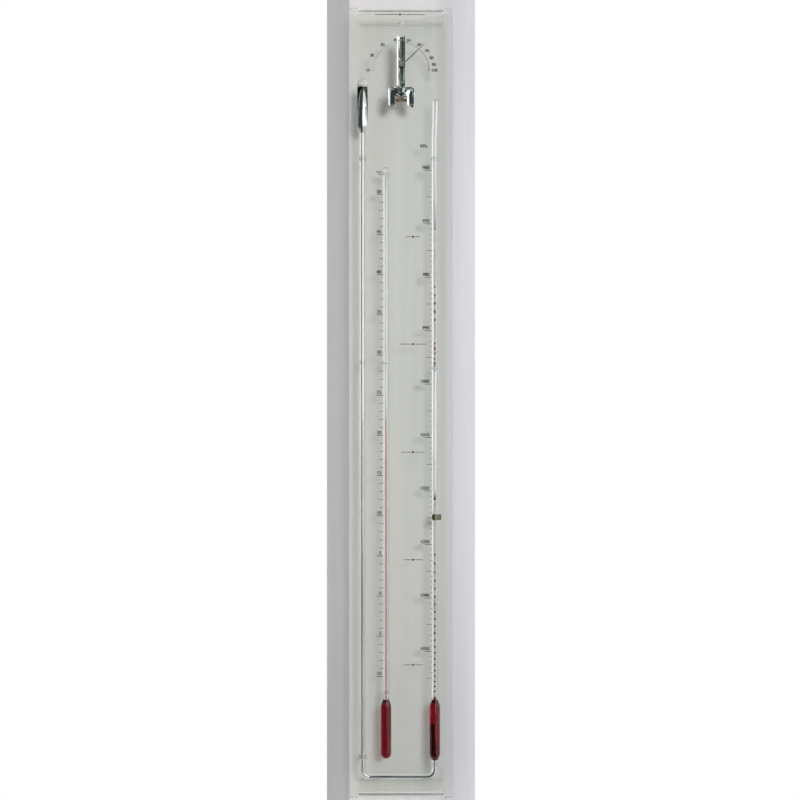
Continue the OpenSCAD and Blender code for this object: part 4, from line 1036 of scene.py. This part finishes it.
BEHIND = WALL_Y + 0.003
stage_card("white_wall", [(-2, BEHIND, TALL[0]), (2, BEHIND, TALL[0]), (2, BEHIND, 1.2), (-2, BEHIND, 1.2)],
           white_wall)
floor_paint, floor_shader = new_finish("floor_paint", (0.8, 0.8, 0.8), 0.8)
floor_mask = give_wear(floor_paint, floor_shader, 0.7, 0.2, 20)
vary_color(floor_paint, floor_shader, floor_mask, (0.78, 0.78, 0.78), (0.84, 0.84, 0.84))
one_sided(floor_paint, floor_shader.outputs["BSDF"])
stage_card("pale_floor", [(-2, -2.5, TALL[0]), (2, -2.5, TALL[0]), (2, BEHIND, TALL[0]), (-2, BEHIND, TALL[0])],
           floor_paint)
print("wall and floor")

# %% [markdown]
# Light: a soft even surround and one lamp to the right of the camera, whose shadows fall to the left. The
# surround looks white to mirrors and glass. Chrome and mercury need something dark to reflect, or they would
# look like white paint, so dark cards stand in front, to the left, high and low. Bright cards and a narrow
# bright strip at the right give the white flanks and the fine streaks.

# %% World and lamp
LIGHT_LEVEL = 0.46
world = bpy.data.worlds.new("studio")
bpy.context.scene.world = world
world.use_nodes = True
world_tree = world.node_tree
sky = world_tree.nodes["Background"]
sky.inputs["Color"].default_value = (1, 1, 1, 1)
world_path, seen = seen_directly(world_tree)
direct = math_node(world_tree, "LESS_THAN", world_path.outputs["Diffuse Depth"], 0.5)
strength = world_tree.nodes.new("ShaderNodeMapRange")
strength.inputs["To Min"].default_value = LIGHT_LEVEL
strength.inputs["To Max"].default_value = 1.0
world_tree.links.new(math_node(world_tree, "MULTIPLY", seen, direct), strength.inputs["Value"])
world_tree.links.new(strength.outputs["Result"], sky.inputs["Strength"])

LAMP_PLACE, LAMP_AIM = Vector((0.245, -1.45, -0.243)), Vector((0, 0, -0.45))
LAMP_SIZE, LAMP_POWER = 0.26, 13.0
lamp_data = bpy.data.lights.new("soft_lamp", "AREA")
lamp_data.shape = "DISK"
lamp_data.size = LAMP_SIZE
lamp_data.energy = LAMP_POWER
lamp = bpy.data.objects.new("soft_lamp", lamp_data)
bpy.context.scene.collection.objects.link(lamp)
lamp.location = LAMP_PLACE
lamp.rotation_euler = (LAMP_AIM - LAMP_PLACE).to_track_quat("-Z", "Y").to_euler()
lamp.visible_glossy = False
lamp.visible_transmission = False
print("lamp at", tuple(round(v, 3) for v in LAMP_PLACE))

# %% Cards that only mirrors see
def glossy_card(name, corners, color, strength):
    """A glowing card for mirrors and glass; light that goes on from a matt surface passes it."""
    material = bpy.data.materials.new(name)
    material.use_nodes = True
    material.node_tree.nodes.remove(material.node_tree.nodes["Principled BSDF"])
    glow = add_node(material, "ShaderNodeEmission", Color=(*color, 1), Strength=strength)
    clear = add_node(material, "ShaderNodeBsdfTransparent")
    path = add_node(material, "ShaderNodeLightPath")
    mix = add_node(material, "ShaderNodeMixShader")
    later = math_node(material.node_tree, "GREATER_THAN", path.outputs["Diffuse Depth"], 0.5)
    link(material, later, mix.inputs["Fac"])
    link(material, glow.outputs["Emission"], mix.inputs[1])
    link(material, clear.outputs["BSDF"], mix.inputs[2])
    link(material, mix.outputs["Shader"], material.node_tree.nodes["Material Output"].inputs["Surface"])
    card = stage_card(name, corners, material)
    card.visible_camera = False
    card.visible_diffuse = False
    card.visible_shadow = False
    card.visible_volume_scatter = False
    return card


def upright_card(name, x0, y0, x1, y1, z0, z1, color, strength=1.0):
    return glossy_card(name, [(x0, y0, z0), (x1, y1, z0), (x1, y1, z1), (x0, y0, z1)], color, strength)


def level_card(name, z, near_y, color):
    """A lying card from the dark front card towards the wall."""
    corners = [(FAR_LEFT, FRONT_Y), (SPLIT_X, FRONT_Y), (SPLIT_X, near_y), (FAR_LEFT, near_y)]
    return glossy_card(name, [(x, y, z) for x, y in corners], color, 1.0)


DARK, BRIGHT = (0.045, 0.06, 0.055), (1.0, 1.0, 0.99)
SPLIT_X, FAR_LEFT, FAR_RIGHT, LEFT_X = 0.2, -3.0, 2.6, -1.1
FRONT_Y, TOP_Z, REAR_Y = -2.4, 2.6, 0.04
upright_card("dark_front_card", FAR_LEFT, FRONT_Y, SPLIT_X, FRONT_Y, -2.0, TOP_Z, DARK)
upright_card("dark_left_card", LEFT_X, FRONT_Y, LEFT_X, REAR_Y, -2.0, TOP_Z, DARK)
level_card("dark_low_card", -1.155, -0.15, DARK)
level_card("dark_high_card", 1.0, -0.1, DARK)
upright_card("dark_wall_card", LEFT_X, REAR_Y, -0.115, REAR_Y, -1.1, 0.15, DARK, 2.0)
upright_card("bright_right_card", SPLIT_X, FRONT_Y, FAR_RIGHT, FRONT_Y, -0.7, TOP_Z, BRIGHT, 1.8)
upright_card("bright_side_card", FAR_RIGHT, FRONT_Y, FAR_RIGHT, 0.0, -0.7, TOP_Z, BRIGHT, 1.5)
upright_card("bright_strip", 0.13, -0.7, 0.155, -0.7, -1.15, 0.4, (1.0, 1.0, 1.0), 4.0)
print("cards set")

# %% [markdown]
# Last, the size of the finished model is printed beside the size of the CAD box.

# %% Sizes of the CAD box and the model
def plain(value):
    """The same boxes as plain lists of numbers."""
    if isinstance(value, (int, float)):
        return float(value)
    return [plain(v) for v in value]


sizes = {"cad": plain(cad_box), "visual": plain(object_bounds())}
print("sizes", sizes)
